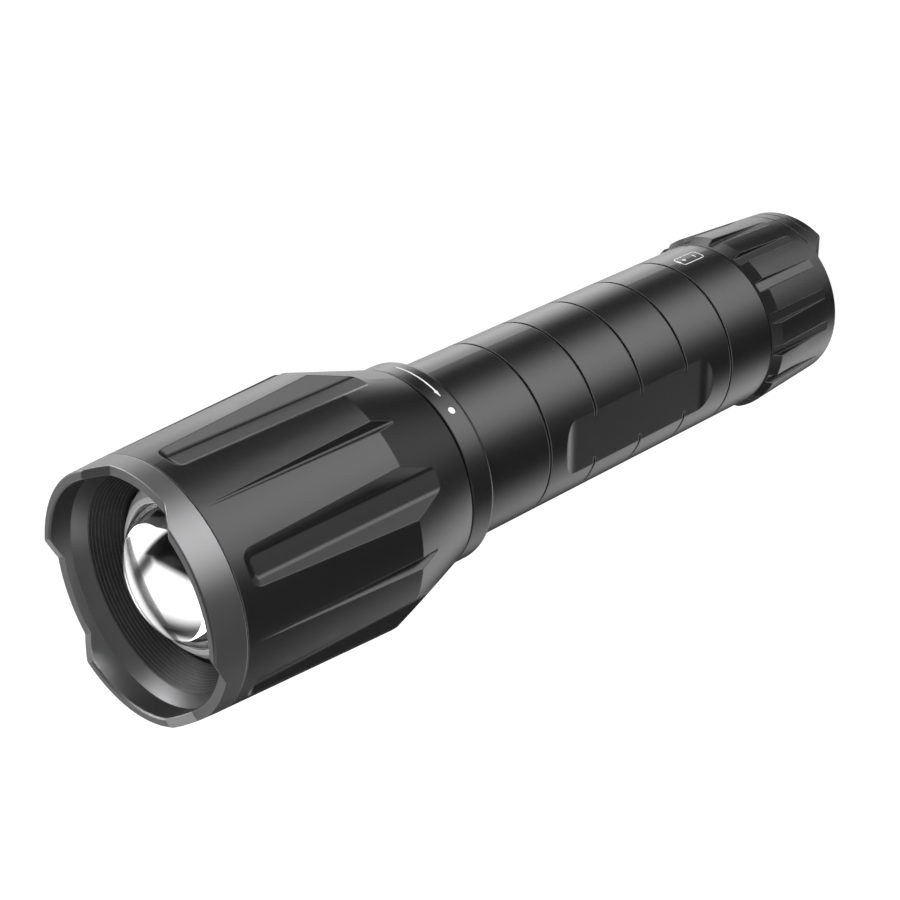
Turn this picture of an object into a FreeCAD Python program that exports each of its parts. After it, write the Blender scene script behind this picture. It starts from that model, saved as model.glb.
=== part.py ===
"""Hand-held infrared illuminator with a turning focus head and a screw-on tail cap.

Frame: millimetres, +Z along the optical axis towards the lens, origin on the plane of the two tail
ears, which the illuminator stands on. +X points to the first ear, -Y to the milled flat of the tube.
"""
import FreeCAD, Part
import math
import os
import re

import Sketcher

# Driving sizes, in millimetres and degrees. Each is set here once and nowhere else.
SIZES = {
    # Tail cap, outside
    "cap_length": 19.2,
    "cap_rear_diameter": 24.9,
    "cap_front_diameter": 27.1,
    "cap_bevel_length": 1.55,
    "cap_lip_diameter": 25.3,
    "cap_edge_round": 0.35,
    "ear_height": 3.8,
    "ear_flat_width": 10.4,
    "ear_foot_width": 17.9,
    "ear_round": 1.5,
    "ear_line_width": 0.28,
    "ear_line_depth": 0.15,
    "ear_line_lower": 1.75,
    "ear_line_upper": 3.75,
    "ear_line_lower_angle": 41.4,
    "ear_line_upper_angle": 62.4,
    "cap_groove_count": 16,
    "cap_groove_floor": 12.8,
    "cap_groove_width": 1.4,
    "cap_groove_flare": 0.3,
    "cap_groove_rear": 5.9,
    # Tail cap, inside
    "dish_diameter": 18.6,
    "dish_depth": 1.4,
    "end_wall": 1.5,
    "cavity_diameter": 20.8,
    "cavity_length": 3.3,
    "tail_thread_diameter": 23.2,
    "thread_clearance": 0.05,
    "tail_seal_length": 2.2,
    "tail_seal_diameter": 24.0,
    "seam_gap": 0.1,
    # Tail button and switch
    "button_diameter": 12.8,
    "button_clearance": 0.2,
    "button_recess": 0.9,
    "button_flange_width": 1.6,
    "button_flange_thickness": 0.8,
    "button_crown_round": 1.2,
    "button_travel": 1.3,
    "stem_diameter": 3.0,
    "stem_length": 2.7,
    "stem_clearance": 0.2,
    "holder_wall": 1.9,
    "holder_neck_gap": 0.5,
    "holder_floor": 1.0,
    "holder_neck_length": 3.9,
    "switch_width": 8.5,
    "switch_height": 3.8,
    "retainer_height": 1.2,
    "tail_board_thickness": 1.15,
    "tail_spring_length": 2.9,
    "spring_wire": 0.6,
    "spring_diameter": 9.0,
    "end_gap": 0.4,
    # Tube
    "tube_diameter": 25.4,
    "tube_short_of_cell": 5.1,
    "groove_count": 5,
    "groove_pitch": 9.587,
    "groove_first": 9.45,
    "groove_width": 0.42,
    "groove_depth": 0.3,
    "flat_depth": 0.7,
    "flat_start": 16.1,
    "flat_length": 26.0,
    "flat_cutter_radius": 4.9,
    "front_thread_diameter": 23.8,
    "front_thread_length": 7.5,
    "pill_seat_depth": 5.0,
    # Cell
    "cell_diameter": 18.4,
    "cell_clearance": 0.3,
    "cell_length": 65.2,
    "cell_nub_diameter": 5.6,
    "cell_nub_height": 1.4,
    # Index ring
    "index_diameter": 28.6,
    "index_length": 4.1,
    "index_round": 0.8,
    "index_dot_diameter": 1.15,
    "index_dot_depth": 0.15,
    "index_dot_height": 2.1,
    "index_dot_angle": -35.5,
    # Neck
    "neck_diameter": 27.0,
    "neck_wall": 1.9,
    "neck_length": 34.8,
    "neck_stop_gap": 0.7,
    "neck_step": 8.2,
    "neck_seat_length": 7.8,
    "running_clearance": 0.1,
    "washer_gap": 0.3,
    "washer_recess": 0.5,
    "head_rear_chamfer": 0.2,
    "washer_play": 0.03,
    "head_seal_wire": 1.0,
    # Focus head
    "head_rear_diameter": 28.9,
    "shoulder_diameter": 36.6,
    "shoulder_length": 12.6,
    "head_front_diameter": 34.3,
    "grip_turn": -2.5,
    "head_bore_diameter": 29.2,
    "flute_count": 6,
    "flute_wall": 1.8,
    "flute_width": 2.95,
    "flute_wall_angle": 53.0,
    "flute_front": 2.05,
    "flute_corner": 0.7,
    "flute_floor_round": 0.9,
    "vee_depth": 0.525,
    "vee_half_angle": 34.0,
    "vee_floor_width": 0.3,
    "bezel_counterbore_depth": 4.95,
    # Bezel
    "bezel_length": 4.77,
    "bezel_seam": 0.16,
    "bezel_front_inset": 0.3,
    "bezel_chamfer": 0.2,
    "spigot_diameter": 30.8,
    "spigot_length": 4.9,
    "bezel_turn": 54.6,
    "tooth_count": 3,
    "tooth_height": 1.9,
    "gap_floor_angle": 36.0,
    "gap_top_angle": 60.0,
    "mouth_diameter": 31.3,
    "mouth_depth": 3.2,
    "cone_length": 2.0,
    "cone_end_diameter": 29.2,
    "rib_count": 10,
    "rib_zone_length": 4.0,
    "rib_depth": 0.07,
    "throat_diameter": 24.72,
    # Focus drive
    "focus_range": 150.0,
    "focus_travel": 6.0,
    "pin_diameter": 2.4,
    "pin_clearance": 0.12,
    "pin_engagement": 0.8,
    "cam_depth": 0.9,
    "cam_margin": 6.0,
    "pin_angle": 90.0,
    "pin_below_lens": 8.8,
    # Lens carriage
    "carrier_length": 11.6,
    "carrier_wall": 1.6,
    "carrier_neck_diameter": 22.8,
    "carrier_neck_length": 2.7,
    "retainer_wall": 0.7,
    "retainer_skirt": 2.5,
    "retainer_nose_diameter": 22.9,
    "retainer_face_diameter": 21.0,
    "retainer_face_width": 0.75,
    "retainer_lip_height": 1.0,
    "lens_flange_diameter": 21.6,
    "lens_flange_thickness": 1.2,
    "lens_dome_diameter": 20.5,
    "lens_dome_height": 6.44,
    "lens_setback": 10.0,
    "lens_seal_width": 1.2,
    "lens_seal_thickness": 0.5,
    # Light engine
    "pill_diameter": 20.4,
    "pill_length": 21.5,
    "pedestal_diameter": 19.4,
    "pill_wall": 1.2,
    "pill_cavity_depth": 6.2,
    "driver_thickness": 1.4,
    "driver_inset": 2.3,
    "driver_choke_diameter": 5.0,
    "driver_choke_height": 2.0,
    "driver_chip_width": 3.6,
    "driver_chip_height": 1.1,
    "driver_part_offset": 3.2,
    "front_spring_length": 4.0,
    "led_board_diameter": 16.0,
    "led_board_thickness": 1.4,
    "led_width": 3.5,
    "led_base_height": 0.8,
    "led_dome_diameter": 3.0,
    "wire_diameter": 0.9,
    "wire_spacing": 12.4,
}

# Places along the axis and sizes that follow from the driving sizes.
PLACES = {
    "ear_bend": "min(ear_round; (ear_foot_width - ear_flat_width) / 4.5)",
    "grip_length": "neck_length + neck_stop_gap + spigot_length - washer_gap",
    "bezel_front_diameter": "head_front_diameter - 2 * bezel_front_inset",
    "dish_floor": "ear_height + dish_depth",
    "wall_inner": "dish_floor + end_wall",
    "cavity_top": "wall_inner + cavity_length",
    "retainer_top": "cavity_top + retainer_height",
    "tube_end": "retainer_top + end_gap",
    "tube_rear": "cap_length + seam_gap",
    "tail_thread_end": "cap_length - tail_seal_length",
    "index_rear": "tube_rear + cell_length - tube_short_of_cell",
    "index_front": "index_rear + index_length",
    "tube_front": "index_front + front_thread_length",
    "grip_rear": "index_front + washer_gap",
    "shoulder_height": "grip_rear + shoulder_length",
    "grip_front": "grip_rear + grip_length",
    "bezel_rear": "grip_front + bezel_seam",
    "tooth_tip": "bezel_rear + bezel_length",
    "spigot_rear": "grip_front - spigot_length",
    "cone_front": "tooth_tip - mouth_depth",
    "cone_rear": "cone_front - cone_length",
    "throat_front": "cone_rear - rib_zone_length",
    "tail_thread_bore": "tail_thread_diameter / 2 + thread_clearance",
    "front_thread_bore": "front_thread_diameter / 2 + thread_clearance",
    "tail_seal_bore": "tail_seal_diameter / 2 + running_clearance",
    "cell_bore": "cell_diameter / 2 + cell_clearance",
    "button_hole": "button_diameter / 2 + button_clearance",
    "button_crown": "dish_floor - button_recess + button_clearance * 2",
    "button_flange": "button_diameter / 2 + button_flange_width",
    "button_back": "wall_inner + seam_gap + button_flange_thickness",
    "stem_top": "button_back + stem_length",
    "holder_radius": "cavity_diameter / 2 - seam_gap",
    "holder_plate": "cavity_top - holder_floor",
    "holder_neck": "cell_bore - holder_neck_gap",
    "holder_top": "cavity_top + holder_neck_length",
    "tail_board_top": "holder_top + tail_board_thickness",
    "cell_rear": "tail_board_top + tail_spring_length",
    "cell_front": "cell_rear + cell_length",
    "nub_top": "cell_front + cell_nub_height",
    "driver_rear": "nub_top + front_spring_length",
    "driver_front": "driver_rear + driver_thickness",
    "pill_rear": "driver_rear - driver_inset",
    "pill_front": "pill_rear + pill_length",
    "pill_bore": "pill_diameter / 2 + thread_clearance",
    "pill_cavity": "pill_diameter / 2 - pill_wall",
    "pill_seat": "pill_rear - seam_gap",
    "neck_rear": "index_front",
    "neck_front": "index_front + neck_length",
    "neck_step_height": "index_front + neck_step",
    "neck_seat_rear": "tube_front + seam_gap * 2",
    "chamber_rear": "neck_seat_rear + neck_seat_length",
    "head_bore": "head_bore_diameter / 2",
    "flute_floor": "head_bore + flute_wall",
    "vee_bottom": "(shoulder_diameter + head_front_diameter) / 4 - vee_depth",
    "neck_upper_radius": "head_bore - running_clearance",
    "chamber_bore": "neck_upper_radius - neck_wall",
    "head_rear_bore": "neck_diameter / 2 + running_clearance",
    "grip_step_height": "neck_step_height - seam_gap",
    "lens_back": "tooth_tip - lens_setback",
    "lens_flange_front": "lens_back + lens_flange_thickness",
    "lens_tip": "lens_flange_front + lens_dome_height",
    "pin_height": "lens_back - pin_below_lens",
    "pin_bore": "pin_diameter / 2 + pin_clearance",
    "carrier_radius": "chamber_bore - running_clearance",
    "carrier_front": "lens_back - seam_gap / 2",
    "carrier_rear": "carrier_front - carrier_length",
    "carrier_shoulder": "carrier_front - carrier_neck_length",
    "retainer_bore": "carrier_neck_diameter / 2 + thread_clearance",
    "retainer_radius": "retainer_bore + retainer_wall",
    "retainer_lip": "lens_flange_front + seam_gap / 2",
    "retainer_face": "retainer_lip + retainer_lip_height",
    "lens_pocket": "lens_flange_diameter / 2 + seam_gap",
    "led_board_front": "pill_front + led_board_thickness",
    "led_base_front": "led_board_front + led_base_height",
    "cam_lead": "focus_travel * 360 / focus_range",
}

doc = FreeCAD.newDocument("Illuminator")
sheet = doc.addObject("Spreadsheet::Sheet", "Sizes")
for row, (alias, number) in enumerate(SIZES.items(), start=1):
    sheet.set("A%d" % row, alias)
    sheet.set("B%d" % row, str(number))
    sheet.setAlias("B%d" % row, alias)
doc.recompute()


def bind(formula):
    """Turn a formula in plain names into one that points at the sheet's cells."""
    def swap(match):
        word = match.group(0)
        if word in PLACES:
            return "(" + bind(PLACES[word]) + ")"
        return "Sizes." + word if word in SIZES else word
    return re.sub(r"[A-Za-z_]\w*", swap, str(formula))


def value(formula):
    """The number that a formula gives with the sheet as it stands."""
    return float(sheet.evalExpression(bind(formula)))


def new_body(node):
    body = doc.addObject("PartDesign::Body", node)
    body.Label = node
    body.Placement = FreeCAD.Placement()
    return body


def origin_item(body, role):
    for feature in body.Origin.OriginFeatures:
        if feature.Role == role:
            return feature
    raise ValueError("no origin item " + role)


def new_sketch(body, name, role, lift=None):
    """Empty sketch on an origin plane, lifted along the plane's normal by a formula."""
    sketch = body.newObject("Sketcher::SketchObject", name)
    sketch.AttachmentSupport = [(origin_item(body, role), "")]
    sketch.MapMode = "FlatFace"
    if lift is not None:
        sketch.setExpression("AttachmentOffset.Base.z", bind(lift))
    return sketch


def hold(sketch, kind, element, corner, formula):
    """Drive one coordinate of a point from the sheet, measured from the sketch's origin."""
    number = value(formula)
    if abs(number) < 1e-9:
        axis = -2 if kind == "DistanceX" else -1
        sketch.addConstraint(Sketcher.Constraint("PointOnObject", element, corner, axis))
        return
    if number > 0:
        rule = Sketcher.Constraint(kind, -1, 1, element, corner, number)
        text = bind(formula)
    else:
        rule = Sketcher.Constraint(kind, element, corner, -1, 1, -number)
        text = "-(" + bind(formula) + ")"
    index = sketch.addConstraint(rule)
    sketch.setExpression("Constraints[%d]" % index, text)


def outline(body, name, points, role="XZ_Plane", lift=None):
    """Closed outline through corners that are each given as two formulas."""
    sketch = new_sketch(body, name, role, lift)
    corners = [FreeCAD.Vector(value(across), value(along), 0) for across, along in points]
    count = len(corners)
    for k in range(count):
        sketch.addGeometry(Part.LineSegment(corners[k], corners[(k + 1) % count]))
    for k in range(count):
        sketch.addConstraint(Sketcher.Constraint("Coincident", k, 2, (k + 1) % count, 1))
    for k, (across, along) in enumerate(points):
        hold(sketch, "DistanceX", k, 1, across)
        hold(sketch, "DistanceY", k, 1, along)
    return sketch


def slot_outline(body, name, role, across, low, high, radius):
    """Upright slot with round ends. Its end centres lie at the two heights."""
    sketch = new_sketch(body, name, role)
    x = value(across)
    bottom = value(low)
    top = value(high)
    r = value(radius)
    up = FreeCAD.Vector(0, 0, 1)
    upper = Part.Circle(FreeCAD.Vector(x, top, 0), up, r)
    lower = Part.Circle(FreeCAD.Vector(x, bottom, 0), up, r)
    sketch.addGeometry(Part.ArcOfCircle(upper, 0, math.pi))
    left = Part.LineSegment(FreeCAD.Vector(x - r, top, 0), FreeCAD.Vector(x - r, bottom, 0))
    sketch.addGeometry(left)
    sketch.addGeometry(Part.ArcOfCircle(lower, math.pi, 2 * math.pi))
    right = Part.LineSegment(FreeCAD.Vector(x + r, bottom, 0), FreeCAD.Vector(x + r, top, 0))
    sketch.addGeometry(right)
    for first, second in ((0, 1), (1, 2), (2, 3), (3, 0)):
        sketch.addConstraint(Sketcher.Constraint("Tangent", first, 2, second, 1))
    index = sketch.addConstraint(Sketcher.Constraint("Radius", 0, r))
    sketch.setExpression("Constraints[%d]" % index, bind(radius))
    sketch.addConstraint(Sketcher.Constraint("Vertical", 1))
    hold(sketch, "DistanceX", 0, 3, across)
    hold(sketch, "DistanceY", 0, 3, high)
    hold(sketch, "DistanceY", 2, 3, low)
    return sketch


def tongue_outline(body, name, lift, half, rear, tip, corner):
    """Upright strip with two rounded corners at its upper end, on a plane that faces +X."""
    sketch = new_sketch(body, name, "YZ_Plane", lift)
    w = value(half)
    low = value(rear)
    high = value(tip)
    r = value(corner)
    up = FreeCAD.Vector(0, 0, 1)
    places = [(-w, low), (w, low), (w, high - r), (w - r, high), (r - w, high), (-w, high - r)]
    spots = [FreeCAD.Vector(across, along, 0) for across, along in places]
    right = Part.Circle(FreeCAD.Vector(w - r, high - r, 0), up, r)
    left = Part.Circle(FreeCAD.Vector(r - w, high - r, 0), up, r)
    sketch.addGeometry(Part.LineSegment(spots[0], spots[1]))
    sketch.addGeometry(Part.LineSegment(spots[1], spots[2]))
    sketch.addGeometry(Part.ArcOfCircle(right, 0, math.pi / 2))
    sketch.addGeometry(Part.LineSegment(spots[3], spots[4]))
    sketch.addGeometry(Part.ArcOfCircle(left, math.pi / 2, math.pi))
    sketch.addGeometry(Part.LineSegment(spots[5], spots[0]))
    for k in (0, 5):
        sketch.addConstraint(Sketcher.Constraint("Coincident", k, 2, (k + 1) % 6, 1))
    for k in (1, 2, 3, 4):
        sketch.addConstraint(Sketcher.Constraint("Tangent", k, 2, k + 1, 1))
    for arc in (2, 4):
        index = sketch.addConstraint(Sketcher.Constraint("Radius", arc, r))
        sketch.setExpression("Constraints[%d]" % index, bind(corner))
    hold(sketch, "DistanceX", 0, 1, "-(" + half + ")")
    hold(sketch, "DistanceX", 0, 2, half)
    hold(sketch, "DistanceY", 0, 1, rear)
    hold(sketch, "DistanceY", 0, 2, rear)
    sketch.addConstraint(Sketcher.Constraint("Vertical", 1))
    sketch.addConstraint(Sketcher.Constraint("Vertical", 5))
    hold(sketch, "DistanceY", 3, 1, tip)
    return sketch


def revolve(body, name, sketch):
    feature = body.newObject("PartDesign::Revolution", name)
    feature.Profile = sketch
    feature.ReferenceAxis = (sketch, ["V_Axis"])
    feature.Angle = 360
    doc.recompute()
    return feature


def turned(node, points):
    """A body turned from one outline of (radius, height) corners."""
    body = new_body(node)
    revolve(body, node + "_turning", outline(body, node + "_profile", points))
    return body


def groove(body, name, sketch, angle=None):
    """Material turned away. An angle makes it a cut over part of the round, centred on the sketch."""
    feature = body.newObject("PartDesign::Groove", name)
    feature.Profile = sketch
    feature.ReferenceAxis = (sketch, ["V_Axis"])
    if angle is None:
        feature.Angle = 360
    else:
        feature.Midplane = True
        feature.setExpression("Angle", bind(angle))
    doc.recompute()
    return feature


def pocket(body, name, sketch, depth, both_ways=False, flip=False):
    feature = body.newObject("PartDesign::Pocket", name)
    feature.Profile = sketch
    feature.Midplane = both_ways
    feature.Reversed = flip
    feature.setExpression("Length", bind(depth))
    doc.recompute()
    return feature


def pattern_round(body, name, feature, count):
    """Repeat a feature evenly about the optical axis."""
    pattern = body.newObject("PartDesign::PolarPattern", name)
    pattern.Originals = [feature]
    pattern.Axis = (origin_item(body, "Z_Axis"), [""])
    pattern.Angle = 360
    pattern.setExpression("Occurrences", bind(count))
    body.Tip = pattern
    doc.recompute()
    return pattern


def rim_edges(body, spots):
    """Names of the round edges that lie at the given (radius, height) spots."""
    names = []
    for radius, height in spots:
        for k, edge in enumerate(body.Shape.Edges, start=1):
            curve = edge.Curve
            if not isinstance(curve, Part.Circle) or edge.Length < 1.0:
                continue
            near = abs(curve.Radius - value(radius)) < 0.02
            level = abs(curve.Center.z - value(height)) < 0.02
            if near and level and abs(curve.Axis.z) > 0.99 and "Edge%d" % k not in names:
                names.append("Edge%d" % k)
    return names


def dress(body, kind, name, spots, size):
    """Fillet or chamfer on round edges."""
    base = body.Tip
    names = rim_edges(body, spots)
    feature = body.newObject("PartDesign::" + kind, name)
    feature.Base = (base, names)
    feature.setExpression("Radius" if kind == "Fillet" else "Size", bind(size))
    body.Tip = feature
    doc.recompute()
    return feature


def must_cut(body, before, what):
    """A cut that points away from the solid removes nothing, so the volume has to fall."""
    if body.Shape.Volume > before - 1e-3:
        raise ValueError(what + " cut nothing")


def rod(name, radius, height, x="0", y="0", z="0", across=False):
    """Cylinder along Z, or along X where across is set."""
    item = doc.addObject("Part::Cylinder", name)
    item.setExpression("Radius", bind(radius))
    item.setExpression("Height", bind(height))
    if across:
        item.Placement.Rotation = FreeCAD.Rotation(FreeCAD.Vector(0, 1, 0), 90)
    item.setExpression("Placement.Base.x", bind(x))
    item.setExpression("Placement.Base.y", bind(y))
    item.setExpression("Placement.Base.z", bind(z))
    return item


def block(name, width, depth, height, z):
    """Box centred on the optical axis."""
    item = doc.addObject("Part::Box", name)
    item.setExpression("Length", bind(width))
    item.setExpression("Width", bind(depth))
    item.setExpression("Height", bind(height))
    item.setExpression("Placement.Base.x", "-(" + bind(width) + ") / 2")
    item.setExpression("Placement.Base.y", "-(" + bind(depth) + ") / 2")
    item.setExpression("Placement.Base.z", bind(z))
    return item


def join(kind, node, base, tool):
    """Boolean of two solids: Cut, Fuse or Common."""
    item = doc.addObject("Part::" + kind, node)
    item.Base = base
    item.Tool = tool
    item.Label = node
    doc.recompute()
    return item


def coil(node, low, high, narrow, wide, turns):
    """Conical contact spring between two heights, swept along its helix."""
    wire = value("spring_wire") / 2
    start = value(low) + wire
    height = value(high) - value(low) - 2 * wire
    first = value(narrow) / 2 - wire
    growth = value(wide) / 2 - wire - first
    slant = math.hypot(growth, height)
    helix = Part.makeHelix(slant / turns, slant, first, math.degrees(math.atan2(growth, height)))
    ring = Part.makeCircle(wire, FreeCAD.Vector(first, 0, 0), FreeCAD.Vector(0, 1, 0))
    shape = Part.Wire(helix.Edges).makePipeShell([Part.Wire([ring])], True, True)
    item = doc.addObject("Part::Feature", node)
    item.Shape = shape
    item.Label = node
    item.Placement = FreeCAD.Placement(FreeCAD.Vector(0, 0, start), FreeCAD.Rotation())
    return item


def ear_flank(body, name):
    """Outline beside an ear: the flank is a straight slope that runs out in an arc at both ends."""
    sketch = new_sketch(body, name, "YZ_Plane")
    low = value("ear_flat_width / 2")
    high = value("ear_foot_width / 2")
    top = value("ear_height")
    r = value("ear_bend")
    far = value("cap_front_diameter")
    # The slope touches both arcs, so it stands square to the line from its tangent point to each centre.
    across = high - low
    rise = top - 2 * r
    lean = math.atan2(rise, across) - math.acos(2 * r / math.hypot(across, rise))
    side = FreeCAD.Vector(math.cos(lean), math.sin(lean), 0) * r
    up = FreeCAD.Vector(0, 0, 1)
    first = FreeCAD.Vector(low, r, 0)
    second = FreeCAD.Vector(high, top - r, 0)
    sketch.addGeometry(Part.ArcOfCircle(Part.Circle(first, up, r), -math.pi / 2, lean))
    sketch.addGeometry(Part.LineSegment(first + side, second - side))
    sketch.addGeometry(Part.ArcOfCircle(Part.Circle(second, up, r), math.pi / 2, math.pi + lean))
    corners = [(high, top), (far, top), (far, -1), (low, -1), (low, 0)]
    for k in range(4):
        start = FreeCAD.Vector(corners[k][0], corners[k][1], 0)
        end = FreeCAD.Vector(corners[k + 1][0], corners[k + 1][1], 0)
        sketch.addGeometry(Part.LineSegment(start, end))
    rules = [("Tangent", 0, 2, 1, 1), ("Tangent", 1, 2, 2, 2), ("Coincident", 2, 1, 3, 1)]
    rules += [("Coincident", 3, 2, 4, 1), ("Coincident", 4, 2, 5, 1), ("Coincident", 5, 2, 6, 1)]
    rules += [("Coincident", 6, 2, 0, 1), ("Horizontal", 3), ("Vertical", 4), ("Horizontal", 5)]
    rules += [("Vertical", 6)]
    for rule in rules:
        sketch.addConstraint(Sketcher.Constraint(*rule))
    for arc in (0, 2):
        index = sketch.addConstraint(Sketcher.Constraint("Radius", arc, r))
        sketch.setExpression("Constraints[%d]" % index, bind("ear_bend"))
    hold(sketch, "DistanceX", 0, 3, "ear_flat_width / 2")
    hold(sketch, "DistanceY", 0, 3, "ear_bend")
    hold(sketch, "DistanceX", 2, 3, "ear_foot_width / 2")
    hold(sketch, "DistanceY", 2, 3, "ear_height - ear_bend")
    hold(sketch, "DistanceX", 0, 1, "ear_flat_width / 2")
    hold(sketch, "DistanceX", 2, 1, "ear_foot_width / 2")
    hold(sketch, "DistanceX", 4, 1, "cap_front_diameter")
    hold(sketch, "DistanceY", 5, 1, "-1")
    return sketch


def make_tail_cap():
    """Cap with two standing ears, sixteen grip grooves and a dished end wall round the button."""
    body = turned("tail_cap", [
        ("button_hole", "dish_floor"),
        ("dish_diameter / 2", "dish_floor"),
        ("dish_diameter / 2", "0"),
        ("cap_rear_diameter / 2", "0"),
        ("cap_front_diameter / 2", "cap_length - cap_bevel_length"),
        ("cap_lip_diameter / 2", "cap_length"),
        ("tail_seal_bore", "cap_length"),
        ("tail_seal_bore", "tail_thread_end"),
        ("tail_thread_bore", "tail_thread_end"),
        ("tail_thread_bore", "cavity_top"),
        ("cavity_diameter / 2", "cavity_top"),
        ("cavity_diameter / 2", "wall_inner"),
        ("button_hole", "wall_inner"),
    ])
    rim = [("cap_rear_diameter / 2", "0"), ("dish_diameter / 2", "0")]
    dress(body, "Fillet", "cap_rim_round", rim, "cap_edge_round")
    for name, height, angle in (("lower", "ear_line_lower", "ear_line_lower_angle"),
                                ("upper", "ear_line_upper", "ear_line_upper_angle")):
        cone = "(cap_front_diameter - cap_rear_diameter) / 2 / (cap_length - cap_bevel_length)"
        surface = "cap_rear_diameter / 2 + " + height + " * " + cone
        before = body.Shape.Volume
        sketch = outline(body, "ear_line_" + name + "_profile", [
            (surface + " - ear_line_depth", height + " - ear_line_width / 2"),
            (surface + " + 1", height + " - ear_line_width / 2"),
            (surface + " + 1", height + " + ear_line_width / 2"),
            (surface + " - ear_line_depth", height + " + ear_line_width / 2"),
        ])
        line = groove(body, "ear_line_" + name, sketch, angle)
        pattern_round(body, "ear_lines_" + name, line, "2")
        must_cut(body, before, "ear line")
    # The two finger gaps leave the ears standing, with sloping flanks that are rounded at both ends.
    before = body.Shape.Volume
    sketch = ear_flank(body, "finger_gap_profile")
    gap = pocket(body, "finger_gap", sketch, "cap_front_diameter * 1.2", both_ways=True)
    pattern_round(body, "finger_gaps", gap, "2")
    must_cut(body, before, "finger gap")
    before = body.Shape.Volume
    sketch = outline(body, "grip_groove_profile", [
        ("cap_groove_floor", "-cap_groove_width / 2"),
        ("cap_groove_floor + 1", "-cap_groove_width / 2 - cap_groove_flare"),
        ("cap_groove_floor + 1", "cap_groove_width / 2 + cap_groove_flare"),
        ("cap_groove_floor", "cap_groove_width / 2"),
    ], role="XY_Plane", lift="cap_length + 1")
    cut = pocket(body, "grip_groove", sketch, "cap_length + 1 - cap_groove_rear")
    pattern_round(body, "grip_grooves", cut, "cap_groove_count")
    must_cut(body, before, "grip groove")
    return body


def make_button():
    """Soft-faced push button: a crown in the dish, a flange behind the wall and a pusher."""
    body = turned("tail_button", [
        ("0", "button_crown"),
        ("button_diameter / 2", "button_crown"),
        ("button_diameter / 2", "wall_inner + seam_gap"),
        ("button_flange", "wall_inner + seam_gap"),
        ("button_flange", "button_back"),
        ("0", "button_back"),
    ])
    crown = [("button_diameter / 2", "button_crown")]
    dress(body, "Fillet", "crown_round", crown, "min(button_crown_round; dish_depth * 0.9)")
    return body


def make_switch():
    """Holder, switch, stem, board and threaded retaining ring of the tail switch."""
    stem = turned("switch_stem", [
        ("0", "button_back"),
        ("stem_diameter / 2", "button_back"),
        ("stem_diameter / 2", "stem_top"),
        ("0", "stem_top"),
    ])
    bore = "stem_diameter / 2 + stem_clearance"
    holder = turned("switch_holder", [
        ("button_flange + button_clearance", "wall_inner + seam_gap"),
        ("holder_radius", "wall_inner + seam_gap"),
        ("holder_radius", "cavity_top - seam_gap / 2"),
        ("holder_neck", "cavity_top - seam_gap / 2"),
        ("holder_neck", "holder_top"),
        (bore, "holder_top"),
        (bore, "holder_plate"),
        ("button_flange + button_clearance", "holder_plate"),
    ])
    side = "switch_width / 2 + seam_gap / 2"
    sketch = outline(holder, "switch_pocket_profile", [
        ("-(" + side + ")", "-(" + side + ")"),
        (side, "-(" + side + ")"),
        (side, side),
        ("-(" + side + ")", side),
    ], role="XY_Plane", lift="holder_top")
    before = holder.Shape.Volume
    pocket(holder, "switch_pocket", sketch, "holder_top - cavity_top")
    must_cut(holder, before, "switch pocket")
    base = block("switch_block", "switch_width", "switch_width", "switch_height", "cavity_top + seam_gap / 2")
    depth = "stem_top + button_travel + seam_gap * 2 - cavity_top"
    hole = rod("switch_hole", bore, depth, z="cavity_top - seam_gap")
    join("Cut", "click_switch", base, hole)
    turned("switch_board", [
        ("0", "holder_top"),
        ("holder_neck - seam_gap", "holder_top"),
        ("holder_neck - seam_gap", "tail_board_top"),
        ("0", "tail_board_top"),
    ])
    turned("switch_retainer", [
        ("holder_neck + seam_gap", "cavity_top"),
        ("tail_thread_diameter / 2", "cavity_top"),
        ("tail_thread_diameter / 2", "retainer_top"),
        ("holder_neck + seam_gap", "retainer_top"),
    ])
    coil("tail_spring", "tail_board_top", "cell_rear", "spring_diameter", "spring_diameter * 1.5", 2.5)
    return stem


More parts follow.
